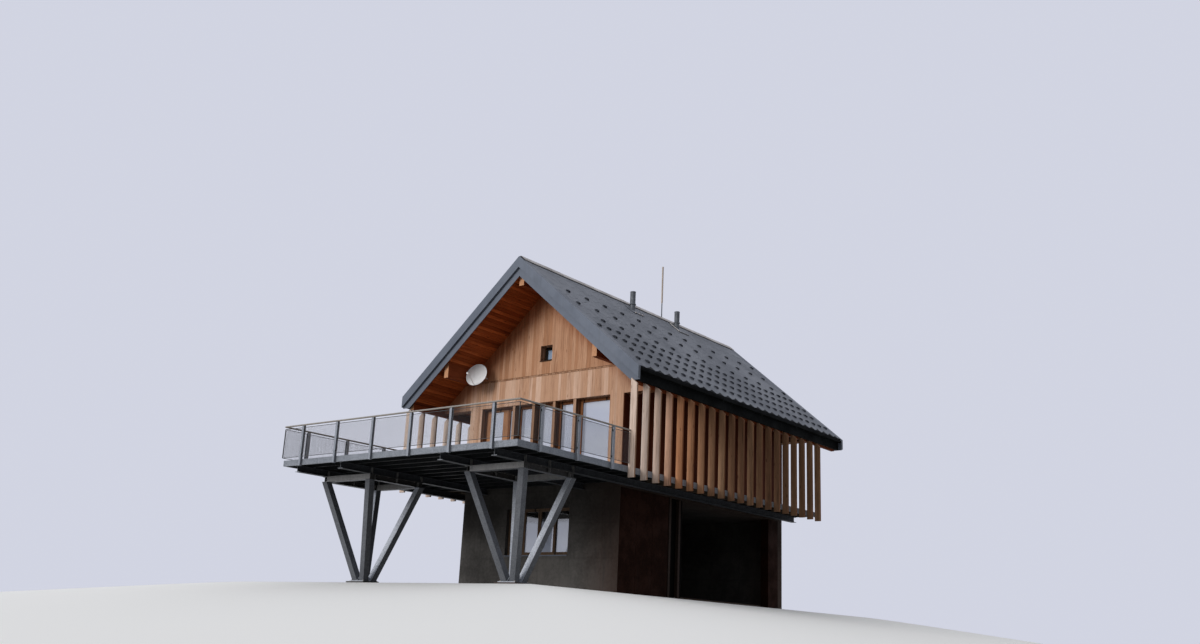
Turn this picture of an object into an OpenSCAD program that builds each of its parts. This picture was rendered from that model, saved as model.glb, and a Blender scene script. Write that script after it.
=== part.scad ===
// Alpine chalet with a steep metal roof, a timber gable, slatted side galleries
// and a steel terrace on two inverted-pyramid stands. Millimetres, Z up.
// The gable faces -Y. The origin is at ground level, under the middle of the whole building.

/* [Levels] */
// Height of the terrace and the upper floor above the ground
deck_level = 3465; // [3200:5:3800]
// Head of the glazed openings above the terrace
header_h = 2590; // [2400:5:2800]
// Height of the drip board in the gable cladding, above that head
drip_rise = 890; // [700:5:1100]
// Face width of the drip board
drip_w = 50; // [30:5:80]
// How far the drip board stands out from the cladding
drip_out = 35; // [20:5:60]

/* [Core] */
// Half the width of the walled core
core_half = 3250; // [3050:10:3600]
// Depth of the walled core from gable to gable
core_depth = 10050; // [8000:50:12000]
// Thickness of the upper timber walls
upper_wall = 360; // [330:10:420]
// Thickness of the lower masonry walls
lower_wall = 300; // [240:10:400]
// Thickness of the floor between the storeys
floor_t = 300; // [240:10:340]
// Thickness of the loft floor
loft_t = 160; // [120:10:220]
// Gap between the head of the openings and the loft floor
loft_gap = 60; // [20:10:120]
// Thickness of the ground floor slab
slab_t = 120; // [80:10:200]

/* [Roof] */
// Roof pitch in degrees
pitch = 40.4; // [34:0.1:46]
// Height of the gable cladding at its low ends, above the head of the openings
gable_foot = 90; // [40:5:200]
// How far the roof reaches out past the terrace edge on each side
eave_out = 260; // [220:5:320]
// Roof overhang in front of and behind the gables
overhang = 1560; // [1200:20:2000]
// Thickness of the metal covering with its battens
cover_t = 60; // [40:5:80]
// Thickness of the insulated roof down to the soffit boards
roof_t = 360; // [280:10:440]
// Width of the level cut under the eaves
eave_flat = 42; // [20:2:80]
// How far the covering ends short of the verge trim's foot
cover_back = 50; // [30:5:70]
// How far the roof body ends short of the verge trim's foot
body_back = 150; // [130:5:180]
// Width of the ridge cap on each side
ridge_cap_w = 150; // [100:10:220]
// Thickness of the ridge cap and the verge flashing
flashing_t = 12; // [6:1:20]
// Vertical depth of the upper verge trim
verge_top_d = 370; // [320:10:420]
// Vertical depth of the whole verge trim
verge_d = 660; // [560:10:760]
// How far the upper verge trim stands out from the roof's end
verge_out = 100; // [40:5:120]
// How far the lower verge trim stands out from the roof's end
verge_in = 20; // [15:5:35]
// Width of the smooth flashing along each verge
verge_band = 250; // [150:10:350]

/* [Purlins] */
// Width of the ridge purlin
ridge_purlin_w = 200; // [160:10:240]
// How far the purlins end short of the roof's end
purlin_back = 110; // [40:10:200]
// Height of the ridge purlin
ridge_purlin_h = 390; // [240:10:450]
// Distance of the wall purlins' middle from the outer face of the side walls
wall_purlin_in = 110; // [100:5:160]
// Width of the purlins over the side walls
wall_purlin_w = 180; // [140:10:200]
// Height of the purlins over the side walls at their outer face
wall_purlin_h = 385; // [280:5:450]
// Width of the eave purlins
eave_purlin_w = 120; // [80:10:160]
// Height of the eave purlins at their outer face
eave_purlin_h = 100; // [80:10:300]

/* [Gutters] */
// Width of the box gutters
gutter_w = 140; // [110:5:150]
// Depth of the box gutters
gutter_h = 150; // [120:5:180]
// Sheet thickness of the gutters and the eave fascias
gutter_t = 5; // [3:1:8]

/* [Front openings] */
// Half the width of the glazed front
glazing_half = 2720; // [2500:10:2850]
// Centre of the outer pair of window posts
outer_post_x = 1295; // [1200:5:1400]
// Centre of the inner pair of window posts
inner_post_x = 440; // [380:5:500]
// Width of the window posts
post_w = 110; // [80:5:140]
// Centre of the mullion in the outer windows, from the middle
mullion_x = 1700; // [1600:5:2400]
// Width of the timber window frames
frame_w = 70; // [50:5:90]
// Depth of the timber window frames
frame_d = 80; // [60:5:100]
// How far the upper frames are set back from the cladding
reveal = 240; // [180:5:250]
// How far the lower window's frame is set back from the wall's face
lower_reveal = 130; // [60:5:180]
// Glass thickness
glass_t = 24; // [16:1:36]
// Side of the square gable window
attic_size = 500; // [400:10:700]
// Sill of the gable window above the terrace
attic_sill = 4005; // [3900:5:4200]

/* [Rear and lower openings] */
// Width of each window in the rear wall
rear_w = 1200; // [900:50:1400]
// Height of each window in the rear wall
rear_h = 1200; // [900:50:1400]
// Sill of the rear windows above the upper floor
rear_sill = 900; // [700:50:1100]
// Centre of each rear window from the middle
rear_x = 1500; // [1300:50:1700]
// Half the width of the lower front window
lower_half = 1300; // [1000:10:1600]
// Sill of the lower window above the ground
lower_sill = 1165; // [900:5:1300]
// Height of the lower window
lower_h = 1460; // [1200:5:1500]
// Length of the lower side wall behind the front corner
side_len = 2600; // [2000:50:3200]
// Distance from the front wall to the wall that faces the open bay
bay_start = 3250; // [3200:10:3500]
// Length of the lower side wall at the rear corner
rear_return = 1000; // [600:50:1500]
// Side of the square bay posts
bay_post = 110; // [80:5:140]

/* [Terrace] */
// Half the width of the terrace over its steel edge
deck_half = 4700; // [4500:10:5200]
// Depth of the terrace in front of the gable wall
deck_out = 6370; // [5800:10:6800]
// Depth of the steel edge channel
edge_h = 170; // [150:5:200]
// Flange width of the steel edge channel
edge_w = 60; // [50:5:80]
// Plate thickness of the steel edge channel
edge_t = 9; // [6:1:12]
// Thickness of the floor boards
board_t = 30; // [24:1:40]
// Width of the joists
joist_w = 70; // [50:5:100]
// Depth of the joists
joist_h = 110; // [90:5:120]
// Greatest spacing of the joists
joist_pitch = 620; // [450:10:800]
// Depth of the primary steel beams
beam_h = 190; // [160:5:240]
// Flange width of the primary steel beams
beam_w = 200; // [160:5:220]
// Flange thickness of the primary steel beams
beam_tf = 12; // [8:1:16]
// Web thickness of the primary steel beams
beam_tw = 9; // [6:1:12]
// How far the primary beams end behind the terrace edge
beam_back = 190; // [120:10:300]

/* [Stands] */
// Middle of the left stand
stand_left_x = -3270; // [-3400:10:-3100]
// Middle of the right stand
stand_right_x = 2770; // [2600:10:2900]
// Width of each stand's ring between beam centres
ring_w = 1970; // [1700:10:2200]
// Depth of each stand's ring between beam centres
ring_d = 2020; // [1700:10:2300]
// Centre of the rings in front of the gable wall
ring_y = 4015; // [3600:5:4400]
// Depth of the ring's beams
ring_h = 165; // [140:5:200]
// Flange thickness of the ring's side beams
ring_tf = 14; // [8:1:20]
// Web thickness of the ring's side beams
ring_tw = 10; // [6:1:14]
// Side of the square struts, which is also the width of the ring's beams
strut_t = 190; // [150:5:210]
// Half the distance between strut centres at the foot
foot_spread = 145; // [120:5:200]
// Side of the steel foot plate
plate_w = 620; // [580:10:680]
// Thickness of the steel foot plate
plate_t = 25; // [15:1:40]
// Side of the concrete foot pad
pad_w = 760; // [700:10:1000]
// Height of the concrete foot pad
pad_h = 60; // [30:5:120]

/* [Railing] */
// Height of the handrail's top above the terrace
rail_h = 1050; // [950:10:1150]
// Diameter of the handrail
rail_d = 50; // [40:1:60]
// Size of the railing posts
rail_post = 80; // [60:5:100]
// Plate thickness of the railing posts
rail_post_t = 10; // [6:1:14]
// Spacing of the railing posts
rail_pitch = 1545; // [1300:5:1700]
// Distance of the first side post from the front edge
rail_first = 835; // [600:5:1000]
// Least distance of the railing's last posts from its ends
rail_end = 300; // [200:10:600]
// How far the railing posts reach below the steel edge
rail_below = 30; // [10:5:60]
// Bar size of the panel frames
panel_bar = 30; // [20:1:40]
// Gap between the terrace and the panels, and between the panels and the handrail
panel_gap = 70; // [50:5:120]
// Gap between a panel and the next post
panel_side = 15; // [8:1:30]
// Height of the lugs that hold the panels
lug_h = 50; // [30:5:80]
// Thickness of the lugs that hold the panels
lug_t = 10; // [6:1:14]
// Diameter of the panel rods
rod_d = 8; // [6:1:12]
// Spacing of the panel rods
rod_pitch = 110; // [80:5:150]

/* [Side screens] */
// Depth of the screen fins
fin_d = 220; // [160:5:230]
// Thickness of the screen fins
fin_t = 60; // [40:5:90]
// Spacing of the screen fins
fin_pitch = 605; // [500:5:700]
// How far the first fin on the right stands in front of the gable wall
fin_first_right = 1610; // [1500:5:1700]
// How far the first fin on the left stands in front of the gable wall
fin_first_left = 1410; // [1300:5:1700]
// How far the fins reach below the terrace
fin_below = 320; // [250:5:400]

/* [Roof fittings] */
// Outer diameter of the flue pipes
flue_d = 200; // [120:5:240]
// Wall thickness of the flue pipes
flue_t = 6; // [4:1:10]
// Side of the flashing plate round each flue
flue_plate = 480; // [300:10:560]
// Distance of the front flue from the ridge
flue_front_x = 430; // [380:10:600]
// Distance of the front flue behind the gable wall
flue_front_y = 4090; // [3500:10:5000]
// Height of the front flue over the roof
flue_front_h = 670; // [500:10:900]
// Distance of the rear flue from the ridge
flue_rear_x = 360; // [340:10:600]
// Distance of the rear flue behind the gable wall
flue_rear_y = 7080; // [6500:10:8000]
// Height of the rear flue over the roof
flue_rear_h = 640; // [350:10:900]
// Diameter of the mast
mast_d = 42; // [30:1:60]
// Diameter of the aerial's sleeve on the mast
mast_top_d = 64; // [42:1:90]
// Height of the sleeve's foot above the ridge
mast_foot = 600; // [300:10:900]
// Distance of the mast behind the gable wall
mast_y = 6560; // [6200:10:7800]
// Height of the mast above the ridge
mast_h = 2050; // [1200:10:2500]

/* [Dish] */
// Diameter of the dish
dish_d = 800; // [600:10:900]
// Depth of the dish
dish_deep = 80; // [50:5:110]
// Sheet thickness of the dish
dish_t = 8; // [5:1:12]
// Clear space between the dish and the soffit
dish_clear = 145; // [90:5:300]
// Clear space between the dish and the purlin beside it
dish_side = 50; // [30:5:300]
// Height of the dish's middle above the drip board
dish_rise = 170; // [150:5:300]
// Distance of the dish's back in front of the gable wall
dish_out = 500; // [400:10:700]
// Turn of the dish to the right of straight ahead
dish_turn = 12; // [-30:2:30]
// Lift of the dish
dish_lift = 14; // [0:2:30]
// Distance of the receiver in front of the dish
feed_out = 580; // [450:10:650]
// Height of the receiver below the dish's middle
feed_down = 200; // [120:10:300]
// Diameter of the receiver
feed_d = 60; // [45:1:80]
// Length of the receiver
feed_l = 110; // [80:5:140]
// Diameter of the receiver's arm
arm_d = 24; // [16:1:32]
// Diameter of the dish's wall pipe and mast
dish_pipe = 48; // [36:1:60]
// Length of the dish's mast
dish_mast = 420; // [320:10:600]
// Side of the dish's wall plate
dish_plate = 150; // [110:10:200]

/* [Hidden] */

$fn = 48;
side_signs = [-1, 1];

// Places along Y: the front gable wall is set so that the building is centred on the origin
front_reach = deck_out + rail_post;
rear_reach = core_depth + overhang + verge_out;
wall_y = (front_reach - rear_reach) / 2;
rear_y = wall_y + core_depth;
verge_y = wall_y - overhang;
rear_verge_y = rear_y + overhang;
deck_y = wall_y - deck_out;
purlin_y = verge_y + purlin_back;
rear_purlin_y = rear_verge_y - purlin_back;

// Heights above the ground
header_z = deck_level + header_h;
drip_z = header_z + drip_rise;
edge_z = deck_level - edge_h;
joist_z = deck_level - board_t;
beam_top_z = joist_z - joist_h;
beam_z = beam_top_z - beam_h;
ring_z = beam_z - ring_h;
wall_top_z = deck_level - floor_t;

// Places across the roof and the terrace
roof_half = deck_half + eave_out;
cover_half = roof_half - cover_back;
body_half = roof_half - body_back;
purlin_x = core_half - wall_purlin_in;
gable_half = deck_half - eave_purlin_w;
inner_half = core_half - upper_wall;
edge_inner = deck_half - edge_w;
fin_outer = deck_half + fin_d;

// Roof lines: heights at a distance x from the ridge, which rises from the head of the openings
slope = tan(pitch);
cover_v = cover_t / cos(pitch);
roof_v = roof_t / cos(pitch);
ridge_z = header_z + gable_foot + gable_half * slope + cover_v + roof_v;
function roof_z(x) = ridge_z - abs(x) * slope;
function body_z(x) = roof_z(x) - cover_v;
function soffit_z(x) = body_z(x) - roof_v;
function soffit_x(z) = (soffit_z(0) - z) / slope;
eave_cut_z = soffit_z(body_half - eave_flat);

// Draws a flat outline in X and Z and gives it a length along Y
module along_y(y0, y1) {
    translate([0, y1, 0]) rotate([90, 0, 0]) linear_extrude(height = y1 - y0) children();
}

// Draws a flat outline in Y and Z and gives it a length along X
module along_x(x0, x1) {
    translate([x0, 0, 0]) rotate([90, 0, 90]) linear_extrude(height = x1 - x0) children();
}

module block(x0, x1, y0, y1, z0, z1) {
    translate([x0, y0, z0]) cube([x1 - x0, y1 - y0, z1 - z0]);
}

module rect(x0, x1, z0, z1) {
    translate([x0, z0]) square([x1 - x0, z1 - z0]);
}

// Roof
module roof_covering(side) {
    color("slategray") along_y(verge_y, rear_verge_y) polygon([
        [0, roof_z(0)], [side * cover_half, roof_z(cover_half)],
        [side * cover_half, body_z(cover_half)], [0, body_z(0)],
    ]);
}

module roof_body(side) {
    cut_x = body_half - eave_flat;
    color("saddlebrown") along_y(verge_y, rear_verge_y) polygon([
        [0, body_z(0)], [side * body_half, body_z(body_half)],
        [side * body_half, eave_cut_z], [side * cut_x, eave_cut_z], [0, soffit_z(0)],
    ]);
}

module roof_covering_left() roof_covering(-1);
module roof_covering_right() roof_covering(1);
module roof_body_left() roof_body(-1);
module roof_body_right() roof_body(1);

module ridge_cap() {
    color("lightslategray") along_y(verge_y, rear_verge_y) polygon([
        [-ridge_cap_w, roof_z(ridge_cap_w)], [-ridge_cap_w, roof_z(ridge_cap_w) + flashing_t],
        [0, ridge_z + flashing_t],
        [ridge_cap_w, roof_z(ridge_cap_w) + flashing_t], [ridge_cap_w, roof_z(ridge_cap_w)],
        [0, ridge_z],
    ]);
}

// A band that follows both slopes, with a level cut at its feet
module chevron(rise, depth) {
    top = ridge_z + rise;
    foot = roof_z(roof_half) + rise;
    low = max(eave_cut_z, foot - depth);
    cut_x = min(roof_half, (top - depth - low) / slope);
    polygon([
        [0, top], [roof_half, foot], [roof_half, low], [cut_x, low],
        [0, top - depth], [-cut_x, low], [-roof_half, low], [-roof_half, foot],
    ]);
}

// out is -1 at the front and 1 at the rear; y is the end of the roof
module verge(y, out) {
    color("slategray") {
        along_y(min(y, y + out * verge_out), max(y, y + out * verge_out))
            chevron(flashing_t, verge_top_d);
        along_y(min(y, y + out * verge_in), max(y, y + out * verge_in))
            chevron(flashing_t, verge_d);
        for (side = side_signs)
            along_y(min(y, y - out * verge_band), max(y, y - out * verge_band)) polygon([
                [side * ridge_cap_w, roof_z(ridge_cap_w)],
                [side * ridge_cap_w, roof_z(ridge_cap_w) + flashing_t],
                [side * cover_half, roof_z(cover_half) + flashing_t],
                [side * cover_half, roof_z(cover_half)],
            ]);
    }
}

module verge_front() verge(verge_y, -1);
module verge_rear() verge(rear_verge_y, 1);

// A fascia plate down to the level cut, with a box gutter in front of it that is closed at both ends
module gutters() {
    inner = body_half;
    outer = body_half + gutter_w;
    top = body_z(inner);
    bottom = top - gutter_h;
    lip = body_z(cover_half);
    color([0.08, 0.09, 0.1]) for (side = side_signs) {
        along_y(verge_y, rear_verge_y) polygon([for (p = [
            [inner, eave_cut_z], [inner + gutter_t, eave_cut_z],
            [inner + gutter_t, bottom], [outer, bottom], [outer, lip], [outer - gutter_t, lip],
            [outer - gutter_t, bottom + gutter_t], [inner + gutter_t, bottom + gutter_t],
            [inner + gutter_t, body_z(inner + gutter_t)], [inner, top],
        ]) [side * p[0], p[1]]]);
        for (y = [verge_y, rear_verge_y - gutter_t])
            along_y(y, y + gutter_t) polygon([for (p = [
                [inner + gutter_t / 2, bottom + gutter_t / 2], [outer - gutter_t / 2, bottom + gutter_t / 2],
                [outer - gutter_t / 2, lip], [inner + gutter_t / 2, lip],
            ]) [side * p[0], p[1]]]);
    }
}

// Purlins
module ridge_purlin() {
    half = ridge_purlin_w / 2;
    color("burlywood") along_y(purlin_y, rear_purlin_y) polygon([
        [-half, soffit_z(0) - ridge_purlin_h], [half, soffit_z(0) - ridge_purlin_h],
        [half, soffit_z(half)], [0, soffit_z(0)], [-half, soffit_z(half)],
    ]);
}

module slope_purlin(side, inner, outer, height) {
    polygon([
        [side * inner, soffit_z(outer) - height], [side * outer, soffit_z(outer) - height],
        [side * outer, soffit_z(outer)], [side * inner, soffit_z(inner)],
    ]);
}

module wall_purlin_outline(side) {
    slope_purlin(side, purlin_x - wall_purlin_w / 2, purlin_x + wall_purlin_w / 2, wall_purlin_h);
}

module side_purlins() {
    color("burlywood") for (side = side_signs) {
        along_y(purlin_y, rear_purlin_y) wall_purlin_outline(side);
        along_y(purlin_y, rear_purlin_y) slope_purlin(side, gable_half, deck_half, eave_purlin_h);
    }
}

// Upper storey; out is the side, along Y, that the gable faces
module gable(y0, out) {
    half = ridge_purlin_w / 2;
    face = out < 0 ? y0 - drip_out : y0 + upper_wall;
    low = soffit_x(drip_z);
    high = soffit_x(drip_z + drip_w);
    color("peru") along_y(face, face + drip_out) difference() {
        polygon([[-low, drip_z], [low, drip_z], [high, drip_z + drip_w], [-high, drip_z + drip_w]]);
        for (side = side_signs) wall_purlin_outline(side);
    }
    color("peru") along_y(y0, y0 + upper_wall) difference() {
        polygon([
            [-gable_half, header_z], [gable_half, header_z], [gable_half, soffit_z(gable_half)],
            [0, soffit_z(0)], [-gable_half, soffit_z(gable_half)],
        ]);
        rect(-half, half, soffit_z(0) - ridge_purlin_h, ridge_z);
        for (side = side_signs) {
            wall_purlin_outline(side);
        }
        rect(-attic_size / 2, attic_size / 2,
            deck_level + attic_sill, deck_level + attic_sill + attic_size);
    }
}

module gable_front() gable(wall_y, -1);
module gable_rear() gable(rear_y - upper_wall, 1);

module front_piers() {
    color("peru") {
        for (side = side_signs) {
            block(min(side * glazing_half, side * core_half), max(side * glazing_half, side * core_half),
                wall_y, wall_y + upper_wall, deck_level, header_z);
            for (x = [outer_post_x, inner_post_x])
                block(side * x - post_w / 2, side * x + post_w / 2,
                    wall_y, wall_y + upper_wall, deck_level, header_z);
        }
    }
}

module rear_wall() {
    color("peru") along_y(rear_y - upper_wall, rear_y) difference() {
        rect(-core_half, core_half, deck_level, header_z);
        for (side = side_signs)
            rect(side * rear_x - rear_w / 2, side * rear_x + rear_w / 2,
                deck_level + rear_sill, deck_level + rear_sill + rear_h);
    }
}

module side_wall(side) {
    color("sienna") along_y(wall_y + upper_wall, rear_y - upper_wall) difference() {
        polygon([
            [side * inner_half, deck_level], [side * core_half, deck_level],
            [side * core_half, soffit_z(core_half)], [side * inner_half, soffit_z(inner_half)],
        ]);
        wall_purlin_outline(side);
    }
}

module side_wall_left() side_wall(-1);
module side_wall_right() side_wall(1);

// The panes of a window of the given outline; cuts are the mullion centres
frame_half = frame_w / 2;
module pane_outline(x0, x1, z0, z1, cuts = []) {
    bars = concat([x0 + frame_half], cuts, [x1 - frame_half]);
    for (i = [1 : len(bars) - 1])
        rect(bars[i - 1] + frame_half, bars[i] - frame_half, z0 + frame_w, z1 - frame_w);
}

// The frame round those panes
module window_outline(x0, x1, z0, z1, cuts = []) {
    difference() {
        rect(x0, x1, z0, z1);
        pane_outline(x0, x1, z0, z1, cuts);
    }
}

// Each front bay from edge to edge, with its mullions
post_half = post_w / 2;
front_bays = [
    [-glazing_half, -outer_post_x - post_half, [-mullion_x]],
    [-outer_post_x + post_half, -inner_post_x - post_half, []],
    [-inner_post_x + post_half, inner_post_x - post_half, []],
    [inner_post_x + post_half, outer_post_x - post_half, []],
    [outer_post_x + post_half, glazing_half, []],
];
lower_cuts = [-lower_half / 2, 0, lower_half / 2];

module front_window_frames() {
    color("saddlebrown") for (bay = front_bays)
        along_y(front_frame_y, front_frame_y + frame_d)
            window_outline(bay[0], bay[1], deck_level, header_z, bay[2]);
}

module attic_rect(y0, panes) {
    z0 = deck_level + attic_sill;
    half = attic_size / 2;
    along_y(y0, y0 + (panes ? glass_t : frame_d)) {
        if (panes) pane_outline(-half, half, z0, z0 + attic_size);
        else window_outline(-half, half, z0, z0 + attic_size);
    }
}

module rear_rects(y0, panes) {
    z0 = deck_level + rear_sill;
    for (side = side_signs)
        along_y(y0, y0 + (panes ? glass_t : frame_d)) {
            x0 = side * rear_x - rear_w / 2;
            if (panes) pane_outline(x0, x0 + rear_w, z0, z0 + rear_h, [side * rear_x]);
            else window_outline(x0, x0 + rear_w, z0, z0 + rear_h, [side * rear_x]);
        }
}

glass_in = (frame_d - glass_t) / 2;
front_frame_y = wall_y + reveal;
lower_frame_y = wall_y + lower_reveal;
rear_frame_y = rear_y - reveal - frame_d;

module gable_window_frames() {
    color("saddlebrown") {
        attic_rect(front_frame_y, false);
        attic_rect(rear_frame_y, false);
        rear_rects(rear_frame_y, false);
    }
}

module lower_window_frame() {
    color("tan") along_y(lower_frame_y, lower_frame_y + frame_d)
        window_outline(-lower_half, lower_half, lower_sill, lower_sill + lower_h, lower_cuts);
}

module window_glass() {
    color("lightsteelblue", 0.5) {
        for (bay = front_bays)
            along_y(front_frame_y + glass_in, front_frame_y + glass_in + glass_t)
                pane_outline(bay[0], bay[1], deck_level, header_z, bay[2]);
        attic_rect(front_frame_y + glass_in, true);
        attic_rect(rear_frame_y + glass_in, true);
        rear_rects(rear_frame_y + glass_in, true);
        along_y(lower_frame_y + glass_in, lower_frame_y + glass_in + glass_t)
            pane_outline(-lower_half, lower_half, lower_sill, lower_sill + lower_h, lower_cuts);
    }
}

// Floors
module upper_floor() {
    color("gray") block(-core_half, core_half, wall_y, rear_y, wall_top_z, deck_level);
}

module loft_floor() {
    color("burlywood") block(-inner_half, inner_half, wall_y + upper_wall, rear_y - upper_wall,
        header_z + loft_gap, header_z + loft_gap + loft_t);
}

// Joist centres between two places along Y
function joist_places(y0, y1) =
    let (span = y1 - y0 - joist_w, count = ceil(span / joist_pitch))
    [for (i = [0 : count]) y0 + joist_w / 2 + i * span / count];

// The joists' ends stand between the channel's flanges, against its web
joist_reach = deck_half - edge_t;

module joists(x0, x1, y0, y1) {
    for (y = joist_places(y0, y1))
        block(x0, x1, y - joist_w / 2, y + joist_w / 2, beam_top_z, joist_z);
}

module gallery_floors() {
    color("rosybrown") for (side = side_signs) {
        block(min(side * core_half, side * edge_inner), max(side * core_half, side * edge_inner),
            wall_y, rear_y, joist_z, deck_level);
        joists(min(side * core_half, side * joist_reach), max(side * core_half, side * joist_reach),
            wall_y, rear_y);
    }
}

module deck_boards() {
    color("silver") block(-edge_inner, edge_inner, deck_y + edge_w, wall_y, joist_z, deck_level);
}

module deck_joists() {
    color("dimgray") joists(-joist_reach, joist_reach, deck_y + edge_w, wall_y);
}

// A channel section with its back at 0 and its flanges towards +X, its top at 0
module channel_outline() {
    polygon([
        [0, 0], [edge_w, 0], [edge_w, -edge_t], [edge_t, -edge_t],
        [edge_t, edge_t - edge_h], [edge_w, edge_t - edge_h], [edge_w, -edge_h], [0, -edge_h],
    ]);
}

module edge_channel() {
    color("lightsteelblue") translate([0, 0, deck_level]) {
        translate([-deck_half, 0, 0]) along_y(deck_y, rear_y) channel_outline();
        translate([deck_half, 0, 0]) mirror([1, 0, 0]) along_y(deck_y, rear_y) channel_outline();
        translate([0, deck_y, 0]) along_x(-deck_half, deck_half) channel_outline();
    }
}

// An I section centred on X, its top at 0
module beam_outline(w, h, tf, tw) {
    rect(-w / 2, w / 2, -tf, 0);
    rect(-w / 2, w / 2, -h, tf - h);
    rect(-tw / 2, tw / 2, -h + tf / 2, -tf / 2);
}

module primary_beams() {
    color("lightsteelblue") for (stand_x = [stand_left_x, stand_right_x]) for (side = side_signs) {
        x = stand_x + side * ring_w / 2;
        outside = abs(x) > core_half;
        translate([x, 0, beam_top_z]) along_y(deck_y + beam_back, outside ? rear_y : wall_y)
            beam_outline(beam_w, beam_h, beam_tf, beam_tw);
    }
}

// Stands: four square struts that rise from one foot to the corners of a ring
module strut(from, to) {
    reach = to - from;
    len = norm(reach);
    dir = reach / len;
    turn = atan2(dir[1], dir[0]);
    translate(from - dir * strut_t)
        rotate([0, acos(dir[2]), turn]) rotate([0, 0, -turn])
            translate([-strut_t / 2, -strut_t / 2, 0]) cube([strut_t, strut_t, len + 2 * strut_t]);
}

// Two H beams along Y with open ends, a cross beam between them at the rear, and one at the front
// that closes the end of the right one
module ring(x, y) {
    half_w = ring_w / 2;
    half_d = ring_d / 2;
    h = strut_t / 2;
    for (side = side_signs)
        translate([x + side * half_w, 0, beam_z])
            along_y(y - half_d + (side < 0 ? -h : h), y + half_d + h)
                beam_outline(strut_t, ring_h, ring_tf, ring_tw);
    block(x - half_w + h, x + half_w + h, y - half_d - h, y - half_d + h, ring_z, beam_z);
    block(x - half_w + h, x + half_w - h, y + half_d - h, y + half_d + h, ring_z, beam_z);
}

module stand(x) {
    y = wall_y - ring_y;
    foot_z = pad_h + plate_t;
    color("lightsteelblue") {
        ring(x, y);
        intersection() {
            union() for (i = side_signs) for (j = side_signs)
                strut([x + i * foot_spread, y + j * foot_spread, foot_z],
                    [x + i * ring_w / 2, y + j * ring_d / 2, ring_z]);
            block(x - ring_w, x + ring_w, y - ring_d, y + ring_d, pad_h + plate_t / 2, ring_z + ring_tf / 2);
        }
        block(x - plate_w / 2, x + plate_w / 2, y - plate_w / 2, y + plate_w / 2, pad_h, foot_z);
    }
}

module stand_left() stand(stand_left_x);
module stand_right() stand(stand_right_x);

module foot_pads() {
    y = wall_y - ring_y;
    color("gainsboro") for (x = [stand_left_x, stand_right_x])
        block(x - pad_w / 2, x + pad_w / 2, y - pad_w / 2, y + pad_w / 2, 0, pad_h);
}

// Railing
function fin_first(side) = side < 0 ? fin_first_left : fin_first_right;
function fin_stop_y(side) = wall_y - fin_first(side) - fin_t / 2;
front_spans = floor(2 * (deck_half - rail_end) / rail_pitch);
front_posts = [for (i = [0 : front_spans]) (i - front_spans / 2) * rail_pitch];
side_spans = floor((fin_stop_y(1) - deck_y - rail_first - rail_end) / rail_pitch);
side_posts = [for (i = [0 : side_spans]) deck_y + rail_first + i * rail_pitch];
rail_axis_z = deck_level + rail_h - rail_d / 2;
rail_out = rail_post / 2;

module rail_post_at(x, y, turn) {
    translate([x, y, 0]) rotate([0, 0, turn])
        translate([0, 0, edge_z - rail_below])
            linear_extrude(height = rail_h + edge_h + rail_below - rail_d)
                translate([0, rail_post / 2])
                    beam_outline(rail_post, rail_post, rail_post_t, rail_post_t);
}

module rail_posts() {
    color("lightsteelblue") {
        for (x = front_posts) rail_post_at(x, deck_y - rail_out, 0);
        for (side = side_signs) for (y = side_posts)
            rail_post_at(side * (deck_half + rail_out), y, 90);
    }
}

module handrail() {
    y = deck_y - rail_out;
    x = deck_half + rail_out;
    color("silver") {
        for (side = side_signs) {
            translate([side * x, fin_stop_y(side), rail_axis_z]) rotate([90, 0, 0])
                cylinder(h = fin_stop_y(side) - y, d = rail_d);
            translate([side * x, y, rail_axis_z]) sphere(d = rail_d);
        }
        translate([-x, y, rail_axis_z]) rotate([0, 90, 0]) cylinder(h = 2 * x, d = rail_d);
    }
}

// One framed panel of upright rods in X and Z, from x0 to x1, with the reach of its lugs at each end
module panel(x0, x1, lug0, lug1) {
    z0 = deck_level + panel_gap;
    z1 = deck_level + rail_h - rail_d - panel_gap;
    count = max(1, floor((x1 - x0 - 2 * panel_bar) / rod_pitch));
    for (z = [z0 + panel_bar, z1 - panel_bar - lug_h]) {
        if (lug0 > 0) block(x0 - lug0, x0 + panel_bar / 2, -lug_t / 2, lug_t / 2, z, z + lug_h);
        if (lug1 > 0) block(x1 - panel_bar / 2, x1 + lug1, -lug_t / 2, lug_t / 2, z, z + lug_h);
    }
    difference() {
        block(x0, x1, -panel_bar / 2, panel_bar / 2, z0, z1);
        block(x0 + panel_bar, x1 - panel_bar, -panel_bar, panel_bar, z0 + panel_bar, z1 - panel_bar);
    }
    for (i = [1 : count - 1])
        translate([x0 + panel_bar + (x1 - x0 - 2 * panel_bar) * i / count, 0, 0])
            block(-rod_d / 2, rod_d / 2, -rod_d / 2, rod_d / 2, z0 + panel_bar / 2, z1 - panel_bar / 2);
}

// The panels between the posts at the given places, and on to both ends; end_lug is at the last end
module panel_row(first, posts, last, end_lug) {
    clear = rail_post / 2 + panel_side;
    to_web = clear - rail_post_t / 2;
    starts = concat([first], [for (p = posts) p + clear]);
    ends = concat([for (p = posts) p - clear], [last]);
    count = len(posts);
    for (i = [0 : count])
        panel(starts[i], ends[i], i == 0 ? 0 : to_web, i == count ? end_lug : to_web);
}

// The two rows meet at the corners, where the side row's frame stands against the front row's
module rail_panels_front() {
    end = deck_half + rail_out + panel_bar / 2;
    color("gray") translate([0, deck_y - rail_out, 0]) panel_row(-end, front_posts, end, 0);
}

module rail_panels_sides() {
    start = deck_y - rail_out + panel_bar / 2;
    color("gray") for (side = side_signs)
        translate([side * (deck_half + rail_out), 0, 0]) rotate([0, 0, 90])
            panel_row(start, side_posts, fin_stop_y(side) - panel_side, panel_side);
}

// Side screens
function fin_count(side) = floor((rear_y - wall_y + fin_first(side)) / fin_pitch);

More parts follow.
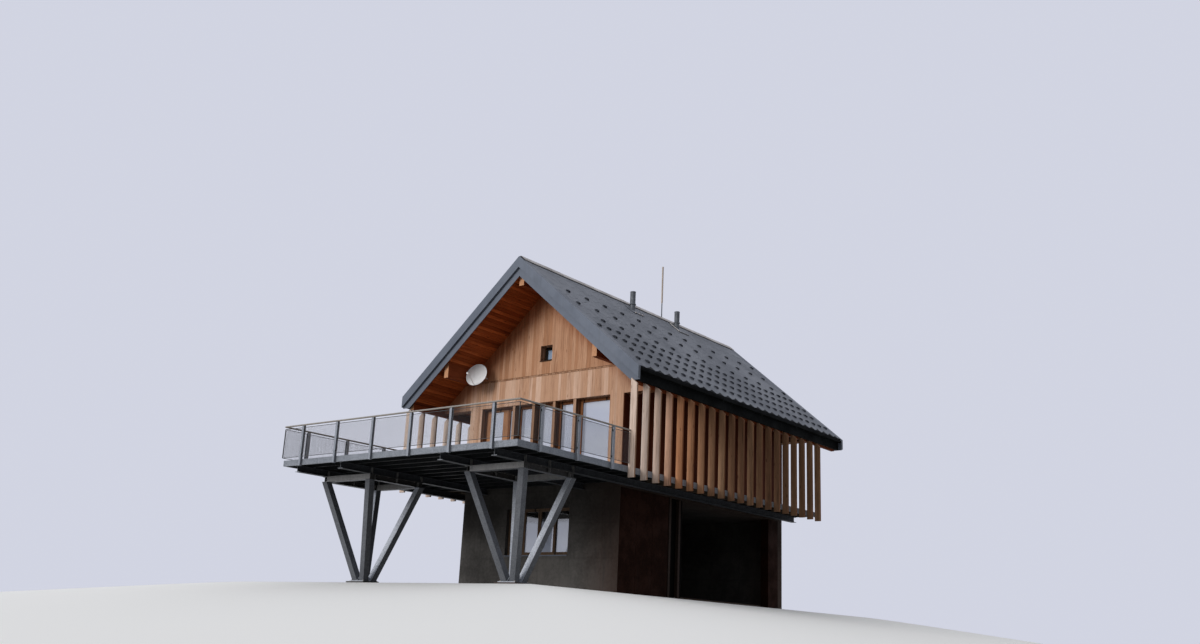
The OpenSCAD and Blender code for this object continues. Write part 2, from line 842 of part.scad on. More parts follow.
// Each fin's head is cut to the slope of the soffit that it stands against
module fins(side) {
    z0 = deck_level - fin_below;
    color("peru") for (i = [0 : fin_count(side)]) {
        y = wall_y - fin_first(side) + i * fin_pitch;
        along_y(y - fin_t / 2, y + fin_t / 2) polygon([
            [side * deck_half, z0], [side * fin_outer, z0],
            [side * fin_outer, soffit_z(fin_outer)], [side * deck_half, soffit_z(deck_half)],
        ]);
    }
}

module fins_left() fins(-1);
module fins_right() fins(1);

// Lower storey
module lower_wall_front() {
    color("gray") along_y(wall_y, wall_y + lower_wall) difference() {
        rect(-core_half, core_half, 0, wall_top_z);
        rect(-lower_half, lower_half, lower_sill, lower_sill + lower_h);
    }
}

module lower_wall_left() {
    color("gray") block(-core_half, lower_wall - core_half,
        wall_y + lower_wall, rear_y - lower_wall, 0, wall_top_z);
}

module lower_wall_right() {
    color("saddlebrown") {
        block(core_half - lower_wall, core_half, wall_y + lower_wall, wall_y + side_len, 0, wall_top_z);
        block(core_half - lower_wall, core_half,
            rear_y - rear_return, rear_y - lower_wall, 0, wall_top_z);
    }
}

module lower_wall_rear() {
    color("gray") block(-core_half, core_half, rear_y - lower_wall, rear_y, 0, wall_top_z);
}

module bay_wall() {
    inner = lower_wall - core_half;
    outer = core_half - lower_wall;
    color("sienna") {
        block(inner, outer, wall_y + bay_start, wall_y + bay_start + lower_wall, slab_t, wall_top_z);
        block(outer, core_half - bay_post, wall_y + side_len, wall_y + bay_start + lower_wall,
            0, wall_top_z);
    }
}

module lower_floor() {
    color("darkgray") block(lower_wall - core_half, core_half - lower_wall,
        wall_y + lower_wall, rear_y - lower_wall, 0, slab_t);
}

module bay_posts() {
    color("lightsteelblue") for (y = [wall_y + side_len + bay_post, wall_y + bay_start])
        block(core_half - bay_post, core_half, y - bay_post / 2, y + bay_post / 2, 0, wall_top_z);
}

// Roof fittings: a pipe that ends on the sloping covering, with a flashing plate round it
module flue(x, y, height) {
    half = flue_plate / 2;
    rise = flashing_t / cos(pitch);
    run = half * cos(pitch);
    color("gray") difference() {
        union() {
            translate([x, wall_y + y, roof_z(x) - flue_d]) cylinder(h = height + flue_d, d = flue_d);
            along_y(wall_y + y - half, wall_y + y + half) polygon([
                [x - run, roof_z(x - run)], [x + run, roof_z(x + run)],
                [x + run, roof_z(x + run) + rise], [x - run, roof_z(x - run) + rise],
            ]);
        }
        translate([x, wall_y + y, roof_z(x) - 2 * flue_d])
            cylinder(h = height + 3 * flue_d, d = flue_d - 2 * flue_t);
        along_y(wall_y + y - flue_d, wall_y + y + flue_d) polygon([
            [x - flue_d, roof_z(x - flue_d)], [x + flue_d, roof_z(x + flue_d)],
            [x + flue_d, roof_z(x) - 3 * flue_d], [x - flue_d, roof_z(x) - 3 * flue_d],
        ]);
    }
}

module flues_and_mast() {
    flue(flue_front_x, flue_front_y, flue_front_h);
    flue(flue_rear_x, flue_rear_y, flue_rear_h);
    color("gray") translate([0, wall_y + mast_y, ridge_z + flashing_t]) {
        cylinder(h = mast_h, d = mast_d);
        translate([0, 0, mast_foot]) cylinder(h = mast_h - mast_foot, d = mast_top_d);
    }
}

// A round reflector on a wall pipe and mast, with a receiver on an arm from its lower edge
dish_steps = 10;
dish_pad = dish_pipe * 1.6;
dish_x = -min(
    soffit_x(drip_z + dish_rise + (dish_d / 2 + dish_clear) / cos(pitch)),
    purlin_x - wall_purlin_w / 2 - dish_d / 2 - dish_side
);

module satellite_dish() {
    r = dish_d / 2;
    z = drip_z + dish_rise;
    y = wall_y - dish_out;
    mast_y0 = y + dish_pipe;
    function bowl(i) = dish_deep * pow(i / dish_steps, 2);
    arm = [0, r - feed_down, feed_out - dish_deep];
    color("gainsboro") {
        translate([dish_x, y, z]) rotate([0, 0, dish_turn]) rotate([90 - dish_lift, 0, 0]) {
            rotate_extrude() polygon(concat(
                [for (i = [0 : dish_steps]) [r * i / dish_steps, bowl(i)]],
                [for (i = [dish_steps : -1 : 0]) [r * i / dish_steps, dish_t + bowl(i)]]
            ));
            translate([-dish_pad / 2, -dish_pad, -dish_pipe]) cube([dish_pad, 2 * dish_pad, dish_pipe + dish_t / 2]);
            translate([0, arm_d / 2 - r, dish_deep]) rotate([-atan2(arm[1], arm[2]), 0, 0])
                cylinder(h = norm(arm), d = arm_d);
            translate([0, -feed_down, feed_out]) rotate([atan2(feed_down, feed_out), 0, 0])
                translate([0, 0, -feed_l / 2]) cylinder(h = feed_l, d = feed_d);
        }
        translate([dish_x, mast_y0, z - dish_mast / 2]) cylinder(h = dish_mast, d = dish_pipe);
        translate([dish_x, wall_y, z]) rotate([90, 0, 0]) cylinder(h = wall_y - mast_y0, d = dish_pipe);
        block(dish_x - dish_plate / 2, dish_x + dish_plate / 2, wall_y - dish_t, wall_y,
            z - dish_plate / 2, z + dish_plate / 2);
    }
}

roof_covering_left();
roof_covering_right();
roof_body_left();
roof_body_right();
ridge_cap();
verge_front();
verge_rear();
gutters();
ridge_purlin();
side_purlins();
gable_front();
gable_rear();
front_piers();
rear_wall();
side_wall_left();
side_wall_right();
front_window_frames();
gable_window_frames();
lower_window_frame();
window_glass();
upper_floor();
loft_floor();
gallery_floors();
edge_channel();
fins_left();
fins_right();
deck_boards();
deck_joists();
primary_beams();
stand_left();
stand_right();
foot_pads();
rail_posts();
handrail();
rail_panels_front();
rail_panels_sides();
lower_wall_front();
lower_wall_left();
lower_wall_right();
lower_wall_rear();
bay_wall();
lower_floor();
bay_posts();
flues_and_mast();
satellite_dish();
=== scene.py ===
# %% [markdown]
# # Dressing an alpine chalet
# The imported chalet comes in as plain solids. This lesson gives it its finishes and the small pieces
# that solids leave out: larch boards, metal roof tiles, soffit boards, wire panels, deck boards,
# sashes and fixings. Every piece is modelled in metres in the frame of the solids, so nothing has
# to be fitted afterwards.

import bisect
import math
import random

import bmesh
import bpy
from mathutils import Matrix, Vector


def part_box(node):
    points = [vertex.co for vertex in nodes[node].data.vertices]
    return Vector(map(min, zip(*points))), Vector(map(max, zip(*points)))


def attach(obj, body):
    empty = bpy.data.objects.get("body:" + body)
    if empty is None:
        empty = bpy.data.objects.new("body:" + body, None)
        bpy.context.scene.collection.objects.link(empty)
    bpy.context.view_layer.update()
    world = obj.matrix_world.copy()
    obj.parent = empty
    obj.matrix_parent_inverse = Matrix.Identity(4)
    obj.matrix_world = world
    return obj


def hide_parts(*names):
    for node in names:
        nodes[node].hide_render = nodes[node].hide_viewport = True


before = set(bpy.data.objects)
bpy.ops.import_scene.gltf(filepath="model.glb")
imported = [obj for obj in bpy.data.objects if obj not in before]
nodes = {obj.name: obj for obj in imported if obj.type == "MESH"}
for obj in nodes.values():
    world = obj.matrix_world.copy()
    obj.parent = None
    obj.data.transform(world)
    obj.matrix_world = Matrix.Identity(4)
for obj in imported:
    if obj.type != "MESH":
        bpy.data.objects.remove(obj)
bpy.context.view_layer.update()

# %% [markdown]
# ## The house's main lines
# A carpenter works from a few lines: the wall's face, the ridge, the pitch and the floor. They are
# measured off the solids here, and every later piece is set out from them.

# %% Measure the main lines
SIDES = (-1, 1)
QUARTER_TURN, HALF_TURN = math.pi / 2, math.pi
floor_lo, floor_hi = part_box("upper_floor")
WALL_Y, REAR_Y = floor_lo.y, floor_hi.y
CORE_X = floor_hi.x
DECK_Z = floor_hi.z
VERGE_Y, REAR_VERGE_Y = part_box("roof_body_right")[0].y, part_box("roof_body_right")[1].y
ROOF_RUN = REAR_VERGE_Y - VERGE_Y
COVER_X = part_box("roof_covering_right")[1].x
RIDGE_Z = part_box("roof_covering_right")[1].z
HEAD_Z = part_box("front_piers")[1].z
DECK_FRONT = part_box("edge_channel")[0].y
DECK_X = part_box("edge_channel")[1].x
PITCH = math.radians(40.4)
SLOPE = math.tan(PITCH)
SOFFIT_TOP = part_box("ridge_purlin")[1].z
GABLE_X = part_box("gable_front")[1].x
BEAM_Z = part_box("primary_beams")[0].z
low_lo, low_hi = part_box("lower_window_frame")


def roof_z(x):
    return RIDGE_Z - abs(x) * SLOPE


def soffit_z(x):
    return SOFFIT_TOP - abs(x) * SLOPE


print("wall", round(WALL_Y, 3), "to", round(REAR_Y, 3), "deck", round(DECK_Z, 3), "ridge", round(RIDGE_Z, 3))

# %% [markdown]
# ## Small helpers for modelling
# An operator works on whatever is selected, and the loaded solids start out selected. So each
# helper first clears the selection. In edit mode the faces, edges or corners to be shaped are picked
# by where they lie, as one would click on them.


# %% Helpers for objects
def fresh(add, **settings):
    """Adds a primitive while nothing else is selected."""
    bpy.ops.object.select_all(action="DESELECT")
    add(**settings)
    return bpy.context.object


def alone(obj):
    """Selects this object and nothing else."""
    bpy.ops.object.select_all(action="DESELECT")
    obj.select_set(True)
    bpy.context.view_layer.objects.active = obj
    return obj


def settle(obj):
    """Puts the object's place, turn and size into its mesh."""
    alone(obj)
    bpy.ops.object.transform_apply(location=True, rotation=True, scale=True)
    return obj


def placed(obj, location, turn=(0, 0, 0)):
    obj.rotation_euler = turn
    obj.location = location
    return settle(obj)


def apply(obj, kind, **settings):
    """Adds a modifier with these settings and applies it."""
    alone(obj)
    modifier = obj.modifiers.new(kind.title(), kind)
    for key, value in settings.items():
        setattr(modifier, key, value)
    bpy.ops.object.modifier_apply(modifier=modifier.name)
    return obj


def chamfer(obj, width):
    return apply(obj, "BEVEL", width=width, segments=1, limit_method="ANGLE", angle_limit=0.6)


def block(lo, hi, soften=0.0):
    """A cube primitive brought to size between two corners, with its edges bevelled."""
    obj = fresh(bpy.ops.mesh.primitive_cube_add, size=1, location=[(a + b) / 2 for a, b in zip(lo, hi)])
    obj.scale = [abs(b - a) for a, b in zip(lo, hi)]
    settle(obj)
    return chamfer(obj, soften) if soften else obj


print("object helpers ready")


# %% Helpers for edit mode
def edit(obj):
    alone(obj)
    bpy.ops.object.mode_set(mode="EDIT")
    return obj


def done(obj):
    bpy.ops.object.mode_set(mode="OBJECT")
    return obj


MIDDLE = {
    "verts": lambda part: part.co,
    "edges": lambda part: (part.verts[0].co + part.verts[1].co) / 2,
    "faces": lambda part: part.calc_center_median(),
}


def pick(obj, test, kind="faces"):
    """In edit mode, selects the faces, edges or verts whose middle passes the test, and counts them."""
    bpy.ops.mesh.select_mode(type=kind[:-1].upper())
    bpy.ops.mesh.select_all(action="DESELECT")
    mesh = bmesh.from_edit_mesh(obj.data)
    count = 0
    for part in getattr(mesh, kind):
        if test(MIDDLE[kind](part), part):
            part.select_set(True)
            count += 1
    mesh.select_flush_mode()
    bmesh.update_edit_mesh(obj.data)
    return count


def move(x=0.0, y=0.0, z=0.0):
    """In edit mode, shifts what is selected."""
    bpy.ops.transform.translate(value=(x, y, z))


def pull(x=0.0, y=0.0, z=0.0):
    """In edit mode, extrudes what is selected."""
    bpy.ops.mesh.extrude_region_move(TRANSFORM_OT_translate={"value": (x, y, z)})


print("edit helpers ready")

# %% [markdown]
# ## Node helpers for the finishes
# A finish is a small net of shader nodes. These helpers add one node at a time and join it to what
# feeds it, which keeps each finish short enough to read.


# %% Helpers for shader nodes
def ink(red, green, blue, dim=1.0):
    """A colour as a paint card gives it, 0 to 255, turned into the linear values that a shader takes."""
    def linear(c):
        c *= dim / 255
        return c / 12.92 if c < 0.04 else ((c + 0.055) / 1.055) ** 2.4
    return linear(red), linear(green), linear(blue), 1.0


def inks(**colors):
    return {key: ink(*value) for key, value in colors.items()}


def put(tree, kind, feeds=None, **settings):
    """Adds a node, makes its settings and feeds its inputs with sockets or values."""
    node = tree.nodes.new("ShaderNode" + kind)
    for key, value in settings.items():
        setattr(node, key, value)
    for key, value in (feeds or {}).items():
        if isinstance(value, bpy.types.NodeSocket):
            tree.links.new(value, node.inputs[key])
        else:
            node.inputs[key].default_value = value
    return node


def calc(tree, operation, *values):
    return put(tree, "Math", dict(enumerate(values)), operation=operation).outputs[0]


def over(tree, value, limit):
    return calc(tree, "GREATER_THAN", value, limit)


def apart(tree, vector):
    """The X, Y and Z of a vector."""
    return put(tree, "SeparateXYZ", {0: vector}).outputs[:]


def span(tree, value, low, high, to_low=0.0, to_high=1.0):
    """Spreads value from low..high over to_low..to_high, with soft ends."""
    feeds = {"Value": value, "From Min": low, "From Max": high, "To Min": to_low, "To Max": to_high}
    return put(tree, "MapRange", feeds, interpolation_type="SMOOTHSTEP").outputs[0]


def mix(tree, factor, first, second, way="MIX"):
    node = put(tree, "Mix", {0: factor, 6: first, 7: second}, data_type="RGBA", blend_type=way)
    return node.outputs[2]


def tinted(tree, mask, color, factors):
    """Multiplies a colour by three factors where the mask is on."""
    return mix(tree, mask, color, mix(tree, 1.0, color, (*factors, 1), "MULTIPLY"))


def noise(tree, vector, scale, detail=4.0, rough=0.55, bend=0.0):
    feeds = {"Vector": vector, "Scale": scale, "Detail": detail, "Roughness": rough, "Distortion": bend}
    return put(tree, "TexNoise", feeds).outputs["Fac"]


def stretch(tree, vector, x, y, z):
    return put(tree, "VectorMath", {0: vector, 1: (x, y, z)}, operation="MULTIPLY").outputs[0]


def turned(tree, vector, x):
    return put(tree, "Mapping", {"Vector": vector, "Rotation": (x, 0, 0)}).outputs[0]


print("node helpers ready")


# %% Helpers for paints
def new_paint(name, **constants):
    """A material with a Principled shader whose plain values are set on its own sockets."""
    paint = bpy.data.materials.new(name)
    paint.use_nodes = True
    tree = paint.node_tree
    tree.nodes.clear()
    shader = put(tree, "BsdfPrincipled", {key.replace("_", " "): value for key, value in constants.items()})
    put(tree, "OutputMaterial", {0: shader.outputs[0]})
    return paint, tree, shader, put(tree, "TexCoord").outputs["Object"]


def bump(tree, shader, height, strength, distance):
    node = put(tree, "Bump", {"Height": height, "Strength": strength, "Distance": distance})
    tree.links.new(node.outputs[0], shader.inputs["Normal"])


def feed(tree, shader, **sockets):
    for key, value in sockets.items():
        tree.links.new(value, shader.inputs[key.replace("_", " ")])


print("paint helpers ready")

# %% [markdown]
# ## Effects that several finishes share
# Wood grain, broad patches, zinc flowers, board joints and rain streaks turn up in many finishes, so
# each is a node group, built once. A group only puts out what varies over the surface: a colour, a
# mask or a height.


# %% Helpers for groups
def new_group(name, inputs, outputs):
    """Starts a node group with named inputs (kind and first value) and outputs."""
    group = bpy.data.node_groups.new(name, "ShaderNodeTree")
    for key, (kind, value) in inputs.items():
        socket = group.interface.new_socket(key, in_out="INPUT", socket_type="NodeSocket" + kind)
        if value is not None:
            socket.default_value = value
    for key, kind in outputs.items():
        group.interface.new_socket(key, in_out="OUTPUT", socket_type="NodeSocket" + kind)
    return group, group.nodes.new("NodeGroupInput").outputs, group.nodes.new("NodeGroupOutput").inputs


def use(tree, group, **feeds):
    """Places a node group and feeds its inputs by name."""
    return put(tree, "Group", feeds, node_tree=group).outputs


print("group helpers ready")

# %% Group: broad patches
VECTOR, NUMBER, COLOR = ("Vector", None), ("Float", 1.0), ("Color", (0.5, 0.5, 0.5, 1))
patches, g_in, g_out = new_group(
    "Patches", {"Vector": VECTOR, "Size": NUMBER, "Pale": COLOR, "Dark": COLOR},
    {"Color": "Color", "Mask": "Float"})
broad = noise(patches, g_in["Vector"], g_in["Size"], 5, 0.6)
fine = noise(patches, g_in["Vector"], calc(patches, "MULTIPLY", g_in["Size"], 11.0), 3, 0.6)
both = calc(patches, "MULTIPLY_ADD", fine, 0.28, calc(patches, "MULTIPLY", broad, 0.72))
mask = span(patches, both, 0.36, 0.64)
patches.links.new(mask, g_out["Mask"])
patches.links.new(mix(patches, mask, g_in["Dark"], g_in["Pale"]), g_out["Color"])
print("group", patches.name)

# %% Group: wood grain along Z
grain, g_in, g_out = new_group(
    "Wood grain", {"Vector": VECTOR, "Board": NUMBER, "Pale": COLOR, "Mid": COLOR, "Dark": COLOR},
    {"Color": "Color", "Height": "Float"})
far_off = {axis: calc(grain, "MULTIPLY", g_in["Board"], step) for axis, step in enumerate((41.0, 17.0, 29.0))}
shift = put(grain, "CombineXYZ", far_off).outputs[0]
moved = put(grain, "VectorMath", {0: g_in["Vector"], 1: shift}, operation="ADD").outputs[0]
rings = noise(grain, stretch(grain, moved, 9.0, 9.0, 0.45), 1.6, 5, 0.62, 0.7)
fibre = noise(grain, stretch(grain, moved, 90.0, 90.0, 2.2), 1.5, 3, 0.6)
cloud = noise(grain, stretch(grain, moved, 1.6, 1.6, 0.5), 1.0, 2, 0.5)
knots = put(grain, "TexVoronoi", {"Vector": stretch(grain, moved, 5.0, 5.0, 1.5), "Scale": 1.0,
                                  "Randomness": 1.0}).outputs["Distance"]
body = mix(grain, span(grain, g_in["Board"], 0.1, 0.9), g_in["Pale"], g_in["Mid"])
body = mix(grain, span(grain, cloud, 0.35, 0.7, 0.0, 0.6), body, g_in["Mid"])
body = mix(grain, span(grain, rings, 0.5, 0.72, 0.0, 0.6), body, g_in["Dark"])
body = mix(grain, span(grain, fibre, 0.42, 0.75, 0.0, 0.4), body, g_in["Dark"])
body = mix(grain, span(grain, knots, 0.05, 0.13, 0.7, 0.0), body, g_in["Dark"])
grain.links.new(body, g_out["Color"])
grain.links.new(calc(grain, "MULTIPLY_ADD", rings, -0.5, calc(grain, "MULTIPLY", fibre, 0.6)),
                g_out["Height"])
print("group", grain.name)

# %% Group: joints between boards
joints, g_in, g_out = new_group(
    "Board joints", {"Along": NUMBER, "Width": NUMBER}, {"Board": "Float", "Gap": "Float"})
cell = calc(joints, "DIVIDE", g_in["Along"], g_in["Width"])
edge = calc(joints, "PINGPONG", cell, 0.5)
joints.links.new(span(joints, edge, 0.02, 0.045, 1.0, 0.0), g_out["Gap"])
joints.links.new(put(joints, "TexWhiteNoise", {"W": calc(joints, "FLOOR", cell)},
                     noise_dimensions="1D").outputs["Value"], g_out["Board"])
print("group", joints.name)

# %% Group: zinc on galvanised steel
zinc, g_in, g_out = new_group(
    "Zinc", {"Vector": VECTOR, "Size": NUMBER, "Pale": COLOR, "Dark": COLOR},
    {"Color": "Color", "Roughness": "Float", "Height": "Float"})
flower = put(zinc, "TexVoronoi", {"Vector": g_in["Vector"], "Scale": g_in["Size"]}).outputs["Color"]
flower = put(zinc, "SeparateColor", {0: flower}).outputs[0]
cloud = noise(zinc, g_in["Vector"], 1.7, 5, 0.6)
streak = noise(zinc, stretch(zinc, g_in["Vector"], 7.0, 7.0, 0.8), 1.5, 4, 0.6)
tone = calc(zinc, "MULTIPLY_ADD", flower, 0.3, calc(zinc, "MULTIPLY", cloud, 0.5))
tone = calc(zinc, "MULTIPLY_ADD", streak, 0.35, tone)
zinc.links.new(mix(zinc, span(zinc, tone, 0.3, 0.85), g_in["Dark"], g_in["Pale"]), g_out["Color"])
zinc.links.new(span(zinc, tone, 0.3, 0.9, 0.62, 0.42), g_out["Roughness"])
zinc.links.new(calc(zinc, "MULTIPLY_ADD", flower, 0.4, streak), g_out["Height"])
print("group", zinc.name)

# %% Group: rain streaks
streaks, g_in, g_out = new_group("Rain streaks", {"Vector": VECTOR, "Size": NUMBER}, {"Mask": "Float"})
sized = put(streaks, "VectorMath", {0: g_in["Vector"], "Scale": g_in["Size"]}, operation="SCALE").outputs[0]
runs = noise(streaks, stretch(streaks, sized, 6.0, 6.0, 0.35), 1.4, 6, 0.65)
streaks.links.new(span(streaks, runs, 0.5, 0.72), g_out["Mask"])
print("group", streaks.name)

# %% [markdown]
# ## Wood finishes
# Fresh larch is pinkish orange, and each board weathers a little differently. The boards carry a
# number called tone, one per board, and the grain group picks the board's shade and its own piece of
# grain from it. Grain runs along Z in the group, so boards that lie along Y are turned first.


# %% Which way a face looks
def facing(tree, axis):
    """How much a face looks along X, Y or Z, from -1 to 1."""
    return apart(tree, put(tree, "NewGeometry").outputs["Normal"])["XYZ".index(axis)]


def looks_along(tree, axis):
    """A mask of the faces that look along an axis, either way."""
    return over(tree, calc(tree, "ABSOLUTE", facing(tree, axis)), 0.7)


print("direction helpers ready")


# %% Wood
def wood(name, pale, mid, dark, along="Z", board="tone", width=0.14, shine=0.15, eave_shade=False,
         under=None, reveal=None):
    """A wood finish. board says where a board's number comes from: its own tone or its place. With
    eave_shade, wood close under the roof gets a painted shade, darker and redder. Under is the
    colour of undersides, a painted shade, and reveal is a painted shade on the faces that look
    sideways; the posts between the outer ones are darker too."""
    paint, tree, shader, place = new_paint(name, Specular_IOR_Level=shine)
    x, y, z = apart(tree, place)
    vector = turned(tree, place, QUARTER_TURN if along == "Y" else 0.0)
    gap = None
    if board == "tone":
        number = put(tree, "Attribute", attribute_name="tone").outputs["Fac"]
    else:
        made = use(tree, joints, Along=calc(tree, "ADD", x, y) if board == "wall" else x, Width=width)
        number, gap = made["Board"], made["Gap"]
    wooden = use(tree, grain, Vector=vector, Board=number, **inks(Pale=pale, Mid=mid, Dark=dark))
    color, height = wooden["Color"], wooden["Height"]
    rain = use(tree, streaks, Vector=vector, Size=0.7)["Mask"]
    color = mix(tree, calc(tree, "MULTIPLY", rain, 0.22), color, ink(*dark, 0.62))
    if gap is not None:
        color = mix(tree, calc(tree, "MULTIPLY", gap, 0.85), color, ink(*dark, 0.3))
        height = calc(tree, "MULTIPLY_ADD", gap, -3.0, height)
    # Painted shade: close under the roof the wood is painted darker and redder.
    if eave_shade:
        roof = calc(tree, "MULTIPLY_ADD", calc(tree, "ABSOLUTE", x), -SLOPE, SOFFIT_TOP)
        eave_shade_mask = span(tree, calc(tree, "SUBTRACT", roof, z), 0.0, 1.2, 0.9, 0.0)
        color = tinted(tree, eave_shade_mask, color, (0.62, 0.32, 0.17))
    # Painted shade: faces that look down get the darker under colour.
    if under:
        below = mix(tree, rain, ink(*under), ink(*under, 0.7))
        color = mix(tree, calc(tree, "LESS_THAN", facing(tree, "Z"), -0.5), color, below)
    # Painted shade on the faces that look sideways; the posts between the outer ones are darker too.
    if reveal:
        between = calc(tree, "LESS_THAN", calc(tree, "ABSOLUTE", x), 2.6)
        color = tinted(tree, between, color, (0.66, 0.6, 0.56))
        color = tinted(tree, looks_along(tree, "X"), color, reveal)
    feed(tree, shader, Base_Color=color, Roughness=span(tree, rain, 0.0, 1.0, 0.72, 0.86))
    bump(tree, shader, height, 0.6, 0.002)
    return paint


larch = wood("Larch cladding", (206, 162, 132), (180, 132, 100), (130, 84, 56), eave_shade=True)
band_larch = wood("Pale larch cladding", (220, 186, 164), (196, 154, 126), (144, 102, 76), eave_shade=True)
larch_solid = wood("Larch behind the boards", (186, 146, 118), (158, 116, 88), (100, 66, 46), board="wall",
                   eave_shade=True)
# The posts get a painted shade in their reveals.
jamb_wood = wood("Larch posts", (224, 190, 166), (202, 164, 136), (140, 100, 74), board="wall", width=0.4,
                 reveal=(0.42, 0.34, 0.28))
soffit_paint = wood("Soffit boards", (206, 112, 62), (148, 72, 36), (84, 34, 14), along="Y", shine=0.05)
dark_boards = wood("Dark wall boards", (104, 48, 26), (84, 36, 18), (44, 18, 9), shine=0.08)
dark_solid = wood("Dark wall", (74, 36, 22), (58, 28, 16), (30, 14, 8), board="wall", shine=0.08)
frame_wood = wood("Window timber", (158, 104, 68), (130, 82, 50), (76, 42, 24), board="wall", width=0.9)
leaf_wood = wood("Door leaf timber", (196, 146, 110), (172, 122, 88), (116, 74, 48), board="wall", width=0.9)
# Painted shade: the gable window's timber is near black, for the deep shade under the roof.
shade_wood = wood("Window timber in painted shade", (44, 36, 32), (34, 28, 25), (20, 16, 14), board="wall", width=0.9,
                  shine=0.08)
lower_wood = wood("Lower window timber", (112, 92, 76), (92, 74, 60), (54, 43, 35), board="wall", width=0.9,
                  shine=0.08)
# Painted shade: the bay's boards are near black, for the deep shade of the recess.
bay_shadow_wood = wood("Bay wall boards in painted shade", (9, 7, 6), (7, 6, 5), (4, 4, 3), board="wall", shine=0.02)
# The boards' undersides are painted dark, a painted shade under the terrace.
deck_wood = wood("Weathered deck boards", (128, 122, 112), (102, 96, 88), (62, 57, 52), along="Y",
                 under=(46, 43, 40))
gallery_wood = wood("Gallery floor", (96, 86, 76), (76, 67, 59), (44, 38, 33), along="Y", board="X")
room_wood = wood("Loft floor", (196, 160, 118), (166, 126, 86), (112, 78, 48), along="Y", board="X")
print("wood finishes ready")

# %% [markdown]
# ## The roof body
# The roof body shows only behind the soffit boards. Outside the last board, over the fins, it is
# painted black like the gutter that hangs there.

# %% Roof body
soffit_solid, tree, shader, place = new_paint("Roof body", Specular_IOR_Level=0.1)
made = use(tree, grain, Vector=turned(tree, place, QUARTER_TURN), Board=0.6,
           **inks(Pale=(150, 76, 42), Mid=(120, 58, 30), Dark=(70, 30, 15)))
black = over(tree, calc(tree, "ABSOLUTE", apart(tree, place)[0]), 4.57)
dull = mix(tree, made["Height"], ink(14, 13, 12), ink(22, 20, 18))
feed(tree, shader, Base_Color=mix(tree, black, made["Color"], dull),
     Roughness=span(tree, noise(tree, place, 8.0), 0.3, 0.7, 0.7, 0.9))
bump(tree, shader, made["Height"], 0.5, 0.002)
print("roof body ready")

# %% [markdown]
# ## Screen fins
# The fins nearest the open front have been bleached by the sun to a pinkish grey. Further back,
# under the shelter of the house, they keep more of their orange, and the last ones have turned a
# dull brown. So their finish changes slowly along the house. Their narrow edges, which look
# sideways, are painted darker and redder: a painted shade.

# %% Screen fins
fin_wood, tree, shader, place = new_paint("Screen fins", Specular_IOR_Level=0.15)
x, y, z = apart(tree, place)
board = use(tree, joints, Along=calc(tree, "ADD", y, 0.3), Width=0.605)["Board"]
fins = [use(tree, grain, Vector=place, Board=board, **inks(Pale=pale, Mid=mid, Dark=dark))
        for pale, mid, dark in (((234, 219, 209), (214, 191, 177), (150, 122, 106)),
                                ((208, 148, 108), (172, 111, 74), (94, 54, 33)),
                                ((176, 138, 108), (146, 109, 83), (76, 52, 37)))]
bleached = calc(tree, "MAXIMUM", span(tree, y, VERGE_Y + 0.7, VERGE_Y + 2.3, 1.0, 0.0),
                span(tree, x, -1.0, 1.0, 0.9, 0.0))
color = mix(tree, span(tree, y, WALL_Y + 0.2, WALL_Y + 3.0), fins[1]["Color"], fins[2]["Color"])
color = mix(tree, bleached, color, fins[0]["Color"])
rain = use(tree, streaks, Vector=place, Size=0.9)["Mask"]
color = mix(tree, calc(tree, "MULTIPLY", rain, 0.25), color, ink(62, 54, 44))
# Painted shade on the narrow edges that look sideways.
color = tinted(tree, looks_along(tree, "X"), color, (0.55, 0.4, 0.3))
feed(tree, shader, Base_Color=color, Roughness=span(tree, rain, 0.0, 1.0, 0.7, 0.86))
bump(tree, shader, fins[0]["Height"], 0.6, 0.002)
print("fin finish ready")

# %% [markdown]
# ## Purlin timber with end grain
# A sawn beam shows long grain on its sides and rings on its cut end. The face's own direction says
# which it is: faces that look along Y get rings round the heart, with a few drying cracks.

# %% Purlin timber
beam_wood, tree, shader, place = new_paint("Purlin timber", Specular_IOR_Level=0.1, Roughness=0.7)
# Painted shade: the long sides are painted dark red-brown, much darker than the cut ends.
sides = use(tree, grain, Vector=turned(tree, place, QUARTER_TURN), Board=0.35,
            **inks(Pale=(150, 78, 44), Mid=(126, 60, 32), Dark=(76, 34, 18)))
heart = put(tree, "TexWave", {"Vector": stretch(tree, place, 1.0, 0.0, 1.0), "Scale": 9.0, "Distortion": 1.4,
                              "Detail": 3.0}, wave_type="RINGS", rings_direction="SPHERICAL").outputs["Fac"]
end_color = mix(tree, span(tree, heart, 0.2, 0.8), ink(214, 164, 128), ink(176, 122, 88))
cracks = span(tree, noise(tree, stretch(tree, place, 3.0, 0.2, 22.0), 1.2, 3, 0.5), 0.66, 0.74)
end_color = mix(tree, cracks, end_color, ink(84, 50, 32))
feed(tree, shader, Base_Color=mix(tree, looks_along(tree, "Y"), sides["Color"], end_color))
bump(tree, shader, sides["Height"], 0.5, 0.002)
print("purlin timber ready")

# %% [markdown]
# ## Metal finishes
# Roof tiles and verge trim are painted aluminium: matt, with soft patches and faint rain streaks.
# The structure is hot-dip galvanised, which shows zinc flowers and cloudy runs.


